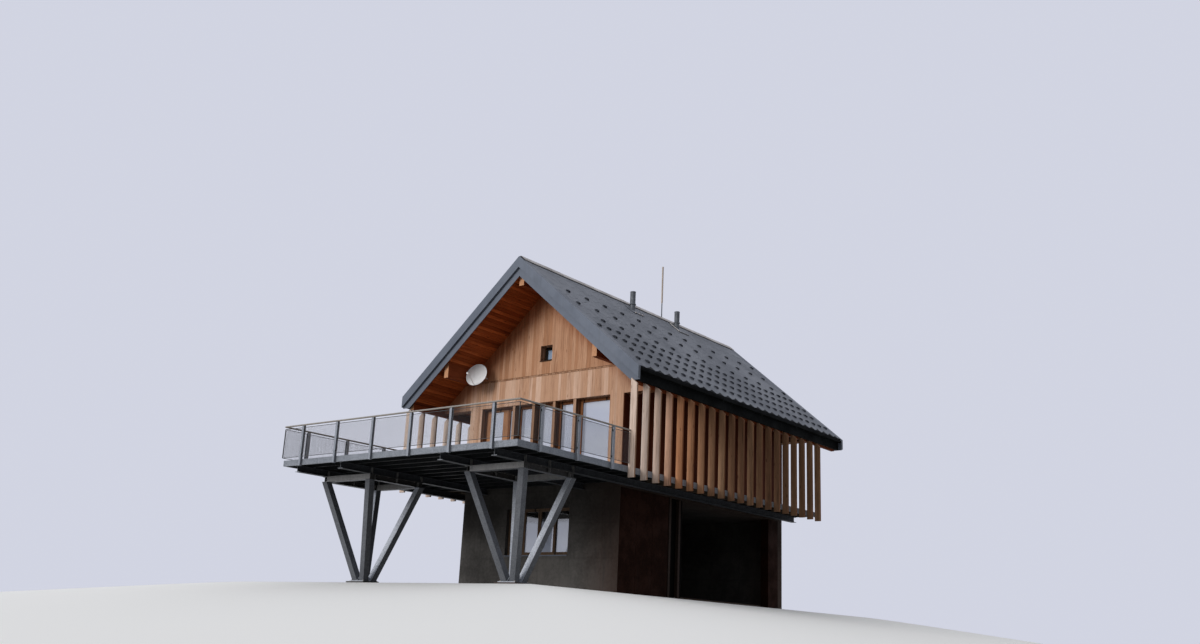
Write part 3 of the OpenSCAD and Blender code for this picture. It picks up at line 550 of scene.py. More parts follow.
# %% Painted and galvanised metal
def coated(name, pale, dark, size=0.8, rough=0.5, dirt=0.25, soil=(60, 58, 54), shine=0.3, eave=None,
           front=None):
    """Coil-coated sheet: patches of slightly different grey, streaks of dirt and a fine orange peel.
    Beyond the eave distance the sheet is black. Front is a painted shade that tints the faces that
    look along Y cooler."""
    paint, tree, shader, place = new_paint(name, Specular_IOR_Level=shine)
    made = use(tree, patches, Vector=place, Size=size, **inks(Pale=pale, Dark=dark))
    rain = use(tree, streaks, Vector=place, Size=0.9)["Mask"]
    color = mix(tree, calc(tree, "MULTIPLY", rain, dirt), made["Color"], ink(*soil))
    if eave:
        past = over(tree, calc(tree, "ABSOLUTE", apart(tree, place)[0]), eave)
        color = mix(tree, past, color, mix(tree, made["Mask"], ink(12, 13, 14), ink(20, 21, 22)))
    # Painted shade: a cool tint on the faces that look along Y.
    if front:
        color = tinted(tree, looks_along(tree, "Y"), color, front)
    peel = noise(tree, place, 220.0, 2, 0.5)
    feed(tree, shader, Base_Color=color, Roughness=span(tree, made["Mask"], 0, 1, rough + 0.08, rough - 0.06))
    bump(tree, shader, calc(tree, "MULTIPLY_ADD", peel, 0.3, made["Mask"]), 0.25, 0.002)
    return paint


def galvanised(name, pale, dark, size=45.0, metal=0.2, shine=0.3, upper=None, ends=None, ring=None,
               below=None):
    """Zinc-coated steel. Upper is the colour of the aerial's sleeve high above the ridge. Ends is a
    painted light on the cut ends that look along Y. Ring is the colour of the stands' rings close under
    the terrace, with a painted shade on their faces that look along X. Below is a painted shade on
    the faces that look down or to the right."""
    paint, tree, shader, place = new_paint(name, Metallic=metal, Specular_IOR_Level=shine)
    made = use(tree, zinc, Vector=place, Size=size, **inks(Pale=pale, Dark=dark))
    color = made["Color"]

    def cloudy(tone, dim):
        return mix(tree, made["Height"], ink(*tone, dim), ink(*tone))

    z = apart(tree, place)[2]
    if upper:
        color = mix(tree, over(tree, z, RIDGE_Z + 0.58), color, cloudy(upper, 0.82))
    # Painted light: the cut ends that look along Y are pale.
    if ends:
        color = mix(tree, looks_along(tree, "Y"), color, cloudy(ends, 0.8))
    if ring:
        # Painted shade on the rings' faces that look along X.
        ring_tone = tinted(tree, looks_along(tree, "X"), cloudy(ring, 0.72), (0.35, 0.33, 0.3))
        color = mix(tree, over(tree, z, BEAM_Z - 0.165), color, ring_tone)
    # Painted shade on the faces that look down or to the right.
    if below:
        dim = calc(tree, "MAXIMUM", calc(tree, "LESS_THAN", facing(tree, "Z"), -0.15),
                   over(tree, facing(tree, "X"), 0.3))
        color = tinted(tree, dim, color, (below, below, below))
    feed(tree, shader, Base_Color=color, Roughness=made["Roughness"])
    bump(tree, shader, made["Height"], 0.2, 0.0015)
    return paint


roof_grey = coated("Roof tile grey", (112, 116, 125), (101, 105, 114), size=0.35, rough=0.55, dirt=0.12)
# The verge's front faces get a painted cool shade.
trim_grey = coated("Trim grey", (108, 113, 124), (97, 102, 113), size=0.3, rough=0.5, dirt=0.12,
                   front=(0.94, 0.99, 1.05))
# Painted highlight: the ridge cap and flashing lips are painted pale for the glint they catch.
highlight_cap_metal = coated("Ridge cap metal with painted highlight", (196, 190, 188), (160, 154, 152), size=1.5, rough=0.42)
under_tiles = coated("Sheet under the tiles", (106, 110, 120), (94, 98, 108), rough=0.6, shine=0.03,
                     eave=4.76)
gutter_black = coated("Gutter anthracite", (16, 18, 18), (9, 10, 10), size=1.2, rough=0.7, soil=(22, 21, 18),
                      shine=0.03)
# Painted shadow: the drip strip is dark, as the shadow line under the upper boards.
drip_shadow_metal = coated("Drip metal in painted shadow", (46, 30, 22), (34, 22, 15), size=2.0, rough=0.6, shine=0.1)
# Painted shade: the stops are painted dark for the shade on their faces towards the eave.
shaded_stop_metal = coated("Snow stop metal in painted shade", (57, 60, 68), (41, 44, 51), size=6.0, rough=0.65, shine=0.08)
enamel = coated("Dish enamel", (246, 247, 250), (232, 234, 238), size=2.5, rough=0.3, dirt=0.1, shine=0.5)
steel = galvanised("Galvanised steel", (144, 149, 158), (108, 113, 121))
# The stands are painted paler than the other galvanised steel, a painted light on their fronts, with painted
# shade on the rings' sides and on faces that look down or right.
stand_steel = galvanised("Stand steel", (204, 209, 220), (160, 165, 175), ring=(160, 159, 159), below=0.25)
post_grey = galvanised("Railing post steel", (160, 165, 175), (122, 127, 137), size=60.0)
# The deck joists are painted dark: a painted shade under the terrace.
shaded_deck_steel = galvanised("Galvanised steel in painted shade", (44, 46, 48), (26, 28, 30), metal=0.0, shine=0.05)
rail_steel = galvanised("Handrail steel", (162, 156, 150), (132, 127, 122), size=90.0)
wire_steel = galvanised("Panel wire", (96, 97, 99), (66, 67, 70), size=120.0, metal=0.0, shine=0.15)
flue_steel = galvanised("Flue steel", (104, 108, 114), (78, 82, 88), size=30.0, upper=(176, 162, 150))
# The beams are painted dark, a painted shade under the terrace, and their cut ends pale, a painted light.
beam_steel = galvanised("Beam steel in the shade", (78, 81, 86), (52, 54, 59), metal=0.0, shine=0.05,
                        ends=(168, 173, 182))
post_steel = galvanised("Post steel", (60, 47, 40), (40, 31, 27), metal=0.0, shine=0.05)
print("metal finishes ready")

# %% [markdown]
# ## Concrete and sheet panels
# Cast concrete keeps the marks of its form: joints between the form panels, and air bubbles.
# Near the side wall it has taken on some of the rust of the brown sheet panels there. Its grey is
# painted darker than fresh concrete, and darker again under the terrace: both are painted shade.

# %% Concrete
concrete, tree, shader, place = new_paint("Concrete", Specular_IOR_Level=0.1)
# Painted shade: the concrete's grey is darker than fresh concrete.
made = use(tree, patches, Vector=place, Size=0.9, **inks(Pale=(98, 95, 93), Dark=(74, 72, 71)))
x, y, z = apart(tree, place)
seam = calc(tree, "MAXIMUM", use(tree, joints, Along=calc(tree, "ADD", x, y), Width=1.25)["Gap"],
            use(tree, joints, Along=z, Width=1.055)["Gap"])
seam = span(tree, seam, 0.6, 1.0)
pores = put(tree, "TexVoronoi", {"Vector": place, "Scale": 26.0}).outputs["Distance"]
pore = calc(tree, "MULTIPLY", span(tree, pores, 0.03, 0.09, 1.0, 0.0),
            span(tree, noise(tree, place, 3.0), 0.5, 0.6))
rain = use(tree, streaks, Vector=place, Size=0.6)["Mask"]
color = mix(tree, calc(tree, "MULTIPLY", rain, 0.25), made["Color"], ink(66, 64, 62))
color = mix(tree, calc(tree, "MULTIPLY", seam, 0.14), color, ink(58, 57, 55))
color = mix(tree, pore, color, ink(44, 43, 42))
near_side = span(tree, x, 1.4, CORE_X, 0.0, 0.6)
color = mix(tree, near_side, color, mix(tree, rain, ink(74, 52, 43), ink(52, 38, 32)))
# Painted shade under the terrace: darker towards the deck.
terrace_shade = span(tree, z, 1.2, DECK_Z - 0.9, 0.0, 0.62)
color = tinted(tree, terrace_shade, color, (0.3, 0.28, 0.26))
feed(tree, shader, Base_Color=color, Roughness=span(tree, made["Mask"], 0, 1, 0.9, 0.76))
bump(tree, shader, calc(tree, "MULTIPLY_ADD", calc(tree, "ADD", pore, seam), -2.0, made["Mask"]), 0.5, 0.003)
print("concrete ready")

# %% Rusty brown sheet
# Rusty brown, painted very dark: a painted shade under the gallery.
rust, tree, shader, place = new_paint("Rusty brown sheet in painted shade", Specular_IOR_Level=0.05)
made = use(tree, patches, Vector=place, Size=1.6, **inks(Pale=(44, 22, 13), Dark=(28, 14, 9)))
rain = use(tree, streaks, Vector=place, Size=1.0)["Mask"]
color = mix(tree, calc(tree, "MULTIPLY", rain, 0.5), made["Color"], ink(28, 17, 12))
speck = span(tree, noise(tree, place, 38.0, 4, 0.7), 0.58, 0.7)
color = mix(tree, calc(tree, "MULTIPLY", speck, 0.3), color, ink(100, 58, 36))
feed(tree, shader, Base_Color=color, Roughness=span(tree, made["Mask"], 0, 1, 0.86, 0.68))
bump(tree, shader, calc(tree, "ADD", made["Mask"], speck), 0.4, 0.002)
print("sheet ready")

# %% [markdown]
# ## Window glass
# Insulating glass has four surfaces that each reflect the sky, so from outside it looks pale and
# cool, and only some of the dark room shows through. A high index of refraction stands for the four
# surfaces, and faint waves bend the reflections as real panes do. The pale blue-white colour with
# soft patches is a painted reflection of sky and clouds. The small pane in the gable is painted
# bluer, a painted reflection of blue sky, and the top of the lower window is painted dark, a
# painted reflection of the terrace above.

# %% Glass
glass, tree, shader, place = new_paint("Window glass", Transmission_Weight=0.4, IOR=3.0)
# Painted reflection: pale blue-white with soft patches, for the sky and clouds.
painted_cloud_reflection = noise(tree, stretch(tree, place, 0.5, 0.5, 0.9), 1.1, 1, 0.4)
color = mix(tree, span(tree, painted_cloud_reflection, 0.3, 0.7), ink(232, 239, 255), ink(212, 221, 246))
height = apart(tree, place)[2]
# Painted reflection: the gable pane is bluer, for the blue sky.
color = mix(tree, over(tree, height, HEAD_Z), color, ink(196, 222, 255))
# Painted reflection: the top of the lower window is dark, for the terrace above.
painted_terrace_reflection = calc(tree, "MULTIPLY", span(tree, height, low_hi.z - 0.5, low_hi.z - 0.35),
              calc(tree, "LESS_THAN", height, DECK_Z))
color = mix(tree, painted_terrace_reflection, color, ink(30, 28, 28))
feed(tree, shader, Base_Color=color, Roughness=span(tree, noise(tree, place, 2.0, 1), 0.3, 0.7, 0.015, 0.04))
bump(tree, shader, noise(tree, place, 0.8, 1, 0.4), 0.02, 0.004)
print("glass ready")

# %% [markdown]
# ## Finishes for the solids
# Each solid that stays in sight gets the finish of its material. The piers and walls behind the
# boards are finished too, because their edges show in the reveals.

# %% Give the solids their finishes
FINISHES = (
    (under_tiles, "roof_covering_left roof_covering_right"),
    (soffit_solid, "roof_body_left roof_body_right"),
    (trim_grey, "ridge_cap verge_front verge_rear"),
    (gutter_black, "gutters"),
    (beam_wood, "ridge_purlin side_purlins"),
    (larch_solid, "gable_front gable_rear rear_wall"),
    (jamb_wood, "front_piers"),
    (dark_solid, "side_wall_left side_wall_right"),
    (frame_wood, "front_window_frames"),
    (shade_wood, "gable_window_frames"),
    (lower_wood, "lower_window_frame"),
    (glass, "window_glass"),
    (concrete, "upper_floor lower_floor foot_pads lower_wall_front lower_wall_left lower_wall_rear"),
    (room_wood, "loft_floor"),
    (gallery_wood, "gallery_floors"),
    (steel, "edge_channel"),
    (fin_wood, "fins_left fins_right"),
    (deck_wood, "deck_boards"),
    (shaded_deck_steel, "deck_joists"),
    (beam_steel, "primary_beams"),
    (stand_steel, "stand_left stand_right"),
    (post_grey, "rail_posts"),
    (rail_steel, "handrail"),
    (wire_steel, "rail_panels_front rail_panels_sides"),
    (rust, "lower_wall_right"),
    (bay_shadow_wood, "bay_wall"),
    (post_steel, "bay_posts"),
    (flue_steel, "flues_and_mast"),
    (enamel, "satellite_dish"),
)
for paint, names in FINISHES:
    for name in names.split():
        nodes[name].material_slots[0].material = paint
print("finishes:", len(FINISHES))

# %% [markdown]
# ## Metal roof tiles
# The roof is covered with large pressed tiles of matt grey sheet. Each tile laps over the two below
# it, and its lower edge is cut back to one side in a curve, so the eave ends in a row of teeth. One
# tile is shaped flat, then repeated along the eave and up the slope, every second course set half a
# tile to the side, and the finished field is turned onto the slope.

# %% One tile
TILE_W, TILE_H, TILE_LAP, TOOTH = 0.489, 0.59, 0.26, 0.23
TILE_GAP, TILE_SHEET, TILE_FOLD = 0.004, 0.002, 0.004
TILE_OVERHANG = 0.03
EAVE_S = COVER_X / math.cos(PITCH) + TILE_OVERHANG
tile = fresh(bpy.ops.mesh.primitive_grid_add, x_subdivisions=3, y_subdivisions=6, size=1,
             location=(-(TILE_H + TILE_LAP) / 2, 0, 0))
tile.scale = (TILE_H + TILE_LAP, TILE_W - TILE_GAP, 1)
edit(settle(tile))
for i in range(1, 7):
    y = TILE_W * (i / 6 - 0.5)
    pick(tile, lambda c, v: c.x > -0.01 and abs(c.y - y) < 0.02, "verts")
    move(x=-TOOTH * (i / 6) ** 1.35)
for reach, lift in ((-0.2, 0.002), (-0.35, 0.0015), (-0.6, 0.0015)):
    pick(tile, lambda c, v: c.x > reach, "verts")
    move(z=lift)
pick(tile, lambda c, v: abs(c.y) < TILE_W * 0.4, "verts")
move(z=0.001)
pick(tile, lambda c, e: c.x > -TOOTH and e.is_boundary, "edges")
pull(z=-TILE_FOLD)
apply(done(tile), "SOLIDIFY", thickness=TILE_SHEET, offset=-1)
print("tile", len(tile.data.polygons), "faces")

# %% [markdown]
# ## Rows, pairs and names
# What repeats is copied and joined into one mesh, so a whole slope of tiles is a single piece. The
# house is the same on both sides of the ridge, so a piece of the right slope is mirrored for the
# left one. A piece that is kept gets its name and its finish, and rides on the house.


# %% Helpers for rows and pairs
def repeat(obj, count, step):
    """A row of copies, step apart, made one mesh."""
    return apply(obj, "ARRAY", use_relative_offset=False, use_constant_offset=True,
                 constant_offset_displace=step, count=count)


def join(objects):
    alone(objects[0])
    for obj in objects:
        obj.select_set(True)
    bpy.ops.object.join()
    return bpy.context.object


def copies(model, places):
    """Sets a copy with its own mesh at each place, a vector or a matrix, and joins them."""
    made = []
    for place in places:
        twin = model.copy()
        twin.data = model.data.copy()
        twin.data.transform(place if isinstance(place, Matrix) else Matrix.Translation(place))
        bpy.context.scene.collection.objects.link(twin)
        made.append(twin)
    bpy.data.objects.remove(model)
    return join(made)


def mirrored(obj):
    """The same piece on the other side of the ridge, with its faces turned outwards again."""
    alone(obj)
    bpy.ops.object.duplicate()
    twin = bpy.context.object
    twin.scale.x = -1
    edit(settle(twin))
    bpy.ops.mesh.select_all(action="SELECT")
    bpy.ops.mesh.normals_make_consistent(inside=False)
    return done(twin)


def keep(obj, name, paint, stands_for=None, smooth=None):
    """Names the piece, gives it its finish and fixes it to the house."""
    obj.name = obj.data.name = name
    obj.data.materials.clear()
    obj.data.materials.append(paint)
    if smooth is not None:
        alone(obj)
        bpy.ops.object.shade_smooth_by_angle(angle=math.radians(smooth))
    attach(obj, "root")
    for node in stands_for or ():
        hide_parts(node)
    print(name, len(obj.data.polygons), "faces")
    return obj


def keep_pair(right_piece, name, paint, smooth=None):
    """Keeps a piece of the right slope and its mirror image on the left one."""
    left_piece = mirrored(right_piece)
    keep(right_piece, name + "_right", paint, smooth=smooth)
    keep(left_piece, name + "_left", paint, smooth=smooth)


def cut(spot, direction, clear=False, fill=False):
    """In edit mode, cuts the whole mesh through a spot, across a direction."""
    bpy.ops.mesh.select_all(action="SELECT")
    bpy.ops.mesh.bisect(plane_co=spot, plane_no=direction, clear_outer=clear, use_fill=fill)


print("row helpers ready")

# %% The tiled slopes
VERGE_BAND = 0.25
RIDGE_GAP = 0.16
BAND_Y, REAR_BAND_Y = VERGE_Y + VERGE_BAND, REAR_VERGE_Y - VERGE_BAND
TILE_PHASE = WALL_Y - 0.04
first_column = math.floor((BAND_Y - TILE_PHASE) / TILE_W)
columns = math.ceil((REAR_BAND_Y - BAND_Y) / TILE_W) + 2
courses = math.ceil(EAVE_S / TILE_H)
field = copies(tile, [(0, 0, 0), (-TILE_H, TILE_W / 2, 0)])
repeat(field, columns, (0, TILE_W, 0))
repeat(field, math.ceil(courses / 2), (-2 * TILE_H, 0, 0))
edit(placed(field, (EAVE_S, TILE_PHASE + first_column * TILE_W, 0)))
for spot, direction in (((RIDGE_GAP, 0, 0), (-1, 0, 0)), ((0, BAND_Y, 0), (0, -1, 0)),
                        ((0, REAR_BAND_Y, 0), (0, 1, 0))):
    cut(spot, direction, clear=True, fill=True)
done(field)


def onto_slope(obj):
    """Turns a piece modelled flat, X down the slope and Y along the ridge, onto the right slope."""
    return placed(obj, (0, 0, RIDGE_Z), (0, PITCH, 0))


keep_pair(onto_slope(field), "roof_tiles", roof_grey, smooth=35)

# %% [markdown]
# ## Snow stops
# Small bent hooks stop the snow from sliding off in one piece. The lowest rows have one on every
# tile, the rows above one on every second tile. A stop is a wedge: low at its upper end, steep
# towards the eave, with a folded lip.

# %% Snow stops
STOP_L, STOP_W, STOP_H = 0.185, 0.095, 0.05
STOP_LIP = 0.012
stop = edit(block((-STOP_L / 2, -STOP_W / 2, 0), (STOP_L / 2, STOP_W / 2, STOP_H)))
pick(stop, lambda c, f: f.normal.z > 0.9)
bpy.ops.transform.resize(value=(0.45, 0.72, 1))
move(x=0.025)
pick(stop, lambda c, f: f.normal.x > 0.5)
bpy.ops.mesh.inset(thickness=STOP_LIP)
move(x=-STOP_LIP)
chamfer(done(stop), 0.005)
STOP_ROWS = (  # distance down the slope, tiles from stop to stop, phase from the gable's face
    (1.80, 2, 0.245), (2.68, 2, -0.035), (3.54, 2, 0.445),
    (4.14, 1, 0.165), (4.73, 1, -0.095), (5.32, 1, 0.145), (5.91, 1, -0.115),
)
spots = []
for down, apart_by, phase in STOP_ROWS:
    pitch = apart_by * TILE_W
    y = WALL_Y + phase
    while y - pitch > BAND_Y:
        y -= pitch
    while y < REAR_BAND_Y:
        spots.append((down, y, 0.012))
        y += pitch
keep_pair(onto_slope(copies(stop, spots)), "snow_stops", shaded_stop_metal)
print(len(spots), "stops a side")

# %% [markdown]
# ## Sheet metal folds
# The ridge cap, its vent strips and the fins' cleats are folded along straight lines. A plane is laid
# over the first leg of the fold, its free edge is extruded from fold to fold, and Solidify gives the
# strip its thickness.


# %% A folding helper
def folded(points, y0, y1, thickness):
    """Folds a strip with this outline in X and Z, running from y0 to y1."""
    obj = edit(fresh(bpy.ops.mesh.primitive_plane_add, size=1))
    mesh = bmesh.from_edit_mesh(obj.data)
    for corner in mesh.verts:
        x, z = points[0] if corner.co.x < 0 else points[1]
        corner.co = (x, y0 if corner.co.y < 0 else y1, z)
    end = Vector((points[1][0], (y0 + y1) / 2, points[1][1]))
    pick(obj, lambda c, e: (c - end).length < 0.001, "edges")
    for (x0, z0), (x1, z1) in zip(points[1:], points[2:]):
        pull(x=x1 - x0, z=z1 - z0)
    bpy.ops.mesh.select_all(action="SELECT")
    bpy.ops.mesh.normals_make_consistent(inside=False)
    return apply(done(obj), "SOLIDIFY", thickness=thickness, offset=0)


print("folding ready")

# %% [markdown]
# ## The vented ridge
# Air leaves the roof under the ridge cap. So the cap stands clear of the tiles on dark vent strips
# and is laid in two-metre lengths that overlap. It takes the place of the plain cap.

# %% Ridge cap
CAP_X, CAP_RISE, CAP_LENGTH, CAP_LAP = 0.165, 0.05, 2.04, 0.09
CAP_OUT, CAP_DROP = 0.012, 0.03
cap_z = roof_z(CAP_X) + CAP_RISE
cap = folded([(-CAP_X - CAP_OUT, cap_z - CAP_DROP), (-CAP_X, cap_z), (0, RIDGE_Z + CAP_RISE),
              (CAP_X, cap_z), (CAP_X + CAP_OUT, cap_z - CAP_DROP)],
             VERGE_Y - 0.02, VERGE_Y - 0.02 + CAP_LENGTH, 0.003)
edit(cap)
pick(cap, lambda c, v: c.y > VERGE_Y + 1, "verts")
move(z=0.006)
cap_count = round(ROOF_RUN / (CAP_LENGTH - CAP_LAP))
repeat(done(cap), cap_count, (0, (ROOF_RUN + 0.04 - CAP_LENGTH) / (cap_count - 1), 0))
keep(cap, "ridge_cap_sheets", highlight_cap_metal, ["ridge_cap"], smooth=20)
VENT = ((CAP_X - 0.012, 0.004), (CAP_X - 0.012, CAP_RISE - 0.004), (0.10, CAP_RISE - 0.004), (0.10, 0.004))
strips = [folded([(side * x, roof_z(x) + z) for x, z in VENT], VERGE_Y + 0.01, REAR_VERGE_Y - 0.01, 0.004)
          for side in SIDES]
keep(join(strips), "ridge_vent_strips", gutter_black)

# %% [markdown]
# ## Verge and gutter edges
# The verge trim is made in lengths: narrow cover strips hide the joints, one on the band that lies
# on the roof and one on the lower trim. The gutter's front edge is rolled into a bead and hung on
# straps.

# %% Verge joints
covers = []
for side in SIDES:
    for down in (2.1, 4.2):
        x = down * math.cos(PITCH)
        for y, out in ((VERGE_Y, -1), (REAR_VERGE_Y, 1)):
            cover = join([block((-0.03, -out * 0.25, -0.004), (0.03, out * 0.099, 0.0035), 0.0015),
                          block((-0.03, 0, -0.47), (0.03, out * 0.023, -0.28), 0.001)])
            covers.append(placed(cover, (side * x, y, roof_z(x) + 0.012), (0, side * PITCH, 0)))
keep(join(covers), "verge_joint_covers", trim_grey)


# %% A rod
def rod(start, end, radius, sides=12):
    """A cylinder primitive turned to run from start to end."""
    start, end = Vector(start), Vector(end)
    obj = fresh(bpy.ops.mesh.primitive_cylinder_add, vertices=sides, radius=radius,
                depth=(end - start).length, location=(start + end) / 2)
    obj.rotation_mode = "QUATERNION"
    obj.rotation_quaternion = (end - start).to_track_quat("Z", "Y")
    return settle(obj)


print("rod helper ready")

# %% Gutter bead and straps
LIP_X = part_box("gutters")[1].x
LIP_Z = roof_z(COVER_X) - 0.06 / math.cos(PITCH)
BEAD_R = 0.009
STRAP_COUNT, STRAP_STEP = 21, 0.62
HANGER_COUNT, HANGER_STEP = 5, 2.48
gutter_parts = []
for side in SIDES:
    x = side * (LIP_X - BEAD_R)
    gutter_parts.append(rod((x, VERGE_Y + 0.01, LIP_Z), (x, REAR_VERGE_Y - 0.01, LIP_Z), BEAD_R, 10))
    strap = block((-0.0765, -0.015, -0.002), (0.0765, 0.015, 0.003), 0.001)
    placed(strap, (side * (LIP_X - 0.07), VERGE_Y + 0.4, LIP_Z + 0.012))
    gutter_parts.append(repeat(strap, STRAP_COUNT, (0, STRAP_STEP, 0)))
    hanger = block((-0.003, -0.02, -0.145), (0.0025, 0.02, 0.0), 0.001)
    placed(hanger, (side * (LIP_X - 0.001), VERGE_Y + 2.15, LIP_Z))
    gutter_parts.append(repeat(hanger, HANGER_COUNT, (0, HANGER_STEP, 0)))
keep(join(gutter_parts), "gutter_beads", gutter_black, smooth=40)

# %% [markdown]
# ## Board cladding
# A boarded wall is set out like paper on a table: a plane the size of the wall is bisected along
# every board joint, and where a window comes the cut-out pieces are deleted. Splitting the joints
# makes each board a strip of its own. Solidify gives them thickness and Bevel their V joints. The
# number called tone is written on each board's faces for the finish to read.


# %% The cladding helper
def write_tone(obj, key, seed):
    """Writes one random number per board on the faces, where key says which board a face is in."""
    dice = random.Random(seed)
    known = {}
    layer = obj.data.attributes.new("tone", "FLOAT", "FACE")
    values = []
    for face in obj.data.polygons:
        board = key(face.center)
        if board not in known:
            known[board] = dice.random()
        values.append(known[board])
    layer.data.foreach_set("value", values)
    return obj


def upright(x0, x1, z0, z1, y=0.0):
    """A plane primitive that stands in XZ and looks towards -Y."""
    obj = fresh(bpy.ops.mesh.primitive_plane_add, size=1, location=((x0 + x1) / 2, y, (z0 + z1) / 2),
                rotation=(QUARTER_TURN, 0, 0))
    obj.scale = (x1 - x0, z1 - z0, 1)
    return settle(obj)


def keeps_x(edge):
    return abs(edge.verts[0].co.x - edge.verts[1].co.x) < 1e-4


BOARD_THICK, BOARD_VEE = 0.022, 0.004


def clad(x0, x1, z0, z1, narrow, wide, seed, holes=(), slopes=True):
    """Boards a wall in the XZ plane with its face at y = 0, looking towards -Y."""
    dice = random.Random(seed)
    wall = edit(upright(x0, x1, z0, z1))
    if slopes:
        for side in SIDES:
            cut((0, 0, SOFFIT_TOP), (side * math.sin(PITCH), 0, math.cos(PITCH)), clear=True)
    for a, b, c, d in holes:
        for x in (a, b):
            cut((x, 0, 0), (1, 0, 0))
        for z in (c, d):
            cut((0, 0, z), (0, 0, 1))
        if pick(wall, lambda m, f: a < m.x < b and c < m.z < d):
            bpy.ops.mesh.delete(type="FACE")
    lines = []
    x = x0 + dice.uniform(narrow, wide)
    while x < x1 - narrow / 2:
        lines.append(x)
        cut((x, 0, 0), (1, 0, 0))
        x += dice.uniform(narrow, wide)
    pick(wall, lambda m, e: keeps_x(e) and any(abs(m.x - v) < 1e-4 for v in lines), "edges")
    bpy.ops.mesh.edge_split()
    apply(done(wall), "SOLIDIFY", thickness=BOARD_THICK, offset=1)
    chamfer(wall, BOARD_VEE)
    return write_tone(wall, lambda m: bisect.bisect(lines, m.x), seed + 1)


print("cladding helper ready")

# %% [markdown]
# ## The gables' boards
# The front gable has vertical larch boards of mixed widths, in two lifts: one above the drip board
# and one below it that runs down beside the windows. The rear is boarded in the same way.

# %% Front and rear cladding
DRIP_UP, DRIP_BOARD = 0.89, 0.05
DRIP_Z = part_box("gable_front")[0].z + DRIP_UP
DRIP_TOP = DRIP_Z + DRIP_BOARD
ATTIC_HALF, ATTIC_SILL, ATTIC_HEAD = 0.25, 4.005, 4.505
REAR_X, REAR_HALF, REAR_SILL, REAR_HEAD = 1.5, 0.6, 0.9, 2.1
GABLE_HALF = 3.6
MIXED_WIDTHS, EVEN_WIDTHS = (0.095, 0.185), (0.12, 0.15)
GLAZED_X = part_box("front_window_frames")[1].x
attic = (-ATTIC_HALF, ATTIC_HALF, DECK_Z + ATTIC_SILL, DECK_Z + ATTIC_HEAD)
rear_windows = [(x - REAR_HALF, x + REAR_HALF, DECK_Z + REAR_SILL, DECK_Z + REAR_HEAD)
                for x in (-REAR_X, REAR_X)]
outside = [(-GABLE_X - 1, -CORE_X, 0, HEAD_Z), (CORE_X, GABLE_X + 1, 0, HEAD_Z)]
WALLS = (
    ("gable_boards_front", 11, GABLE_HALF, DRIP_TOP, SOFFIT_TOP, [attic]),
    ("wall_boards_front", 23, GABLE_X, DECK_Z, DRIP_Z, outside + [(-GLAZED_X, GLAZED_X, 0, HEAD_Z)]),
    ("gable_boards_rear", 37, GABLE_HALF, DRIP_TOP, SOFFIT_TOP, [attic]),
    ("wall_boards_rear", 41, GABLE_X, DECK_Z, DRIP_Z, outside + rear_windows),
)
for name, seed, half, z0, z1, holes in WALLS:
    wall = clad(-half, half, z0, z1, *MIXED_WIDTHS, seed, holes)
    if name.endswith("rear"):
        placed(wall, (0, REAR_Y, 0), (0, 0, HALF_TURN))
    else:
        placed(wall, (0, WALL_Y, 0))
    keep(wall, name, band_larch if name.startswith("wall") else larch)

# %% [markdown]
# ## Boards on the side walls
# Behind the fins the side walls have dark red-brown boards. They are set out in the same way and
# turned to face the galleries. The left wall is boarded as a right one and mirrored.

# %% Side wall boards
for side, name in zip(SIDES, ("side_boards_left", "side_boards_right")):
    wall = clad(WALL_Y + 0.002, REAR_Y - 0.002, DECK_Z, soffit_z(CORE_X), *EVEN_WIDTHS, 60 + side,
                slopes=False)
    placed(wall, (CORE_X, 0, 0), (0, 0, QUARTER_TURN))
    if side < 0:
        right_wall = wall
        wall = mirrored(wall)
        bpy.data.objects.remove(right_wall)
    keep(wall, name, dark_boards)

# %% [markdown]
# ## Soffit boards
# The underside of the roof is lined with narrow boards that run along the ridge. One board is a
# bevelled strip. It is repeated down the slope, and the lining is turned to the roof's pitch and
# mirrored.

# %% Soffit lining
LINING_W, LINING_X = 0.128, 4.58
lining_count = int(LINING_X / math.cos(PITCH) / LINING_W)
board = block((0.004, VERGE_Y + 0.004, -0.018), (LINING_W - 0.002, REAR_VERGE_Y - 0.004, 0.002), 0.004)
repeat(board, lining_count, (LINING_W, 0, 0))
write_tone(board, lambda c: int(c.x / LINING_W), 77)
keep_pair(placed(board, (0, 0, SOFFIT_TOP), (0, PITCH, 0)), "soffit_boards", soffit_paint)

# %% [markdown]
# ## Deck boards
# The terrace is laid with grooved boards, with a few millimetres of air between them, so light
# falls through. They take the place of the plain slab of the deck.

# %% Deck
PLANK = 0.145
PLANK_AIR, GROOVES, GROOVE_DEEP = 0.006, 5, 0.003
deck_lo, deck_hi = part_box("deck_boards")
plank_count = int((deck_hi.x - deck_lo.x) / PLANK)
plank_step = (deck_hi.x - deck_lo.x) / plank_count
plank_x0, plank_x1 = deck_lo.x + PLANK_AIR / 2, deck_lo.x + plank_step - PLANK_AIR / 2
plank = edit(block((plank_x0, deck_lo.y, deck_lo.z), (plank_x1, deck_hi.y, deck_hi.z)))
for i in range(GROOVES):
    cut((deck_lo.x + plank_step * (i + 1) / (GROOVES + 1), 0, 0), (1, 0, 0))
pick(plank, lambda c, e: c.z > deck_hi.z - 0.001 and keeps_x(e) and plank_x0 + 0.007 < c.x < plank_x1 - 0.007,
     "edges")
bpy.ops.mesh.bevel(offset=0.004, segments=1)
pick(plank, lambda c, f: c.z > deck_hi.z - 0.001 and f.calc_area() < 0.012 * (deck_hi.y - deck_lo.y))
move(z=-GROOVE_DEEP)
repeat(done(plank), plank_count, (plank_step, 0, 0))
write_tone(plank, lambda c: int((c.x - deck_lo.x) / plank_step), 91)
keep(plank, "deck_planks", deck_wood, ["deck_boards"])

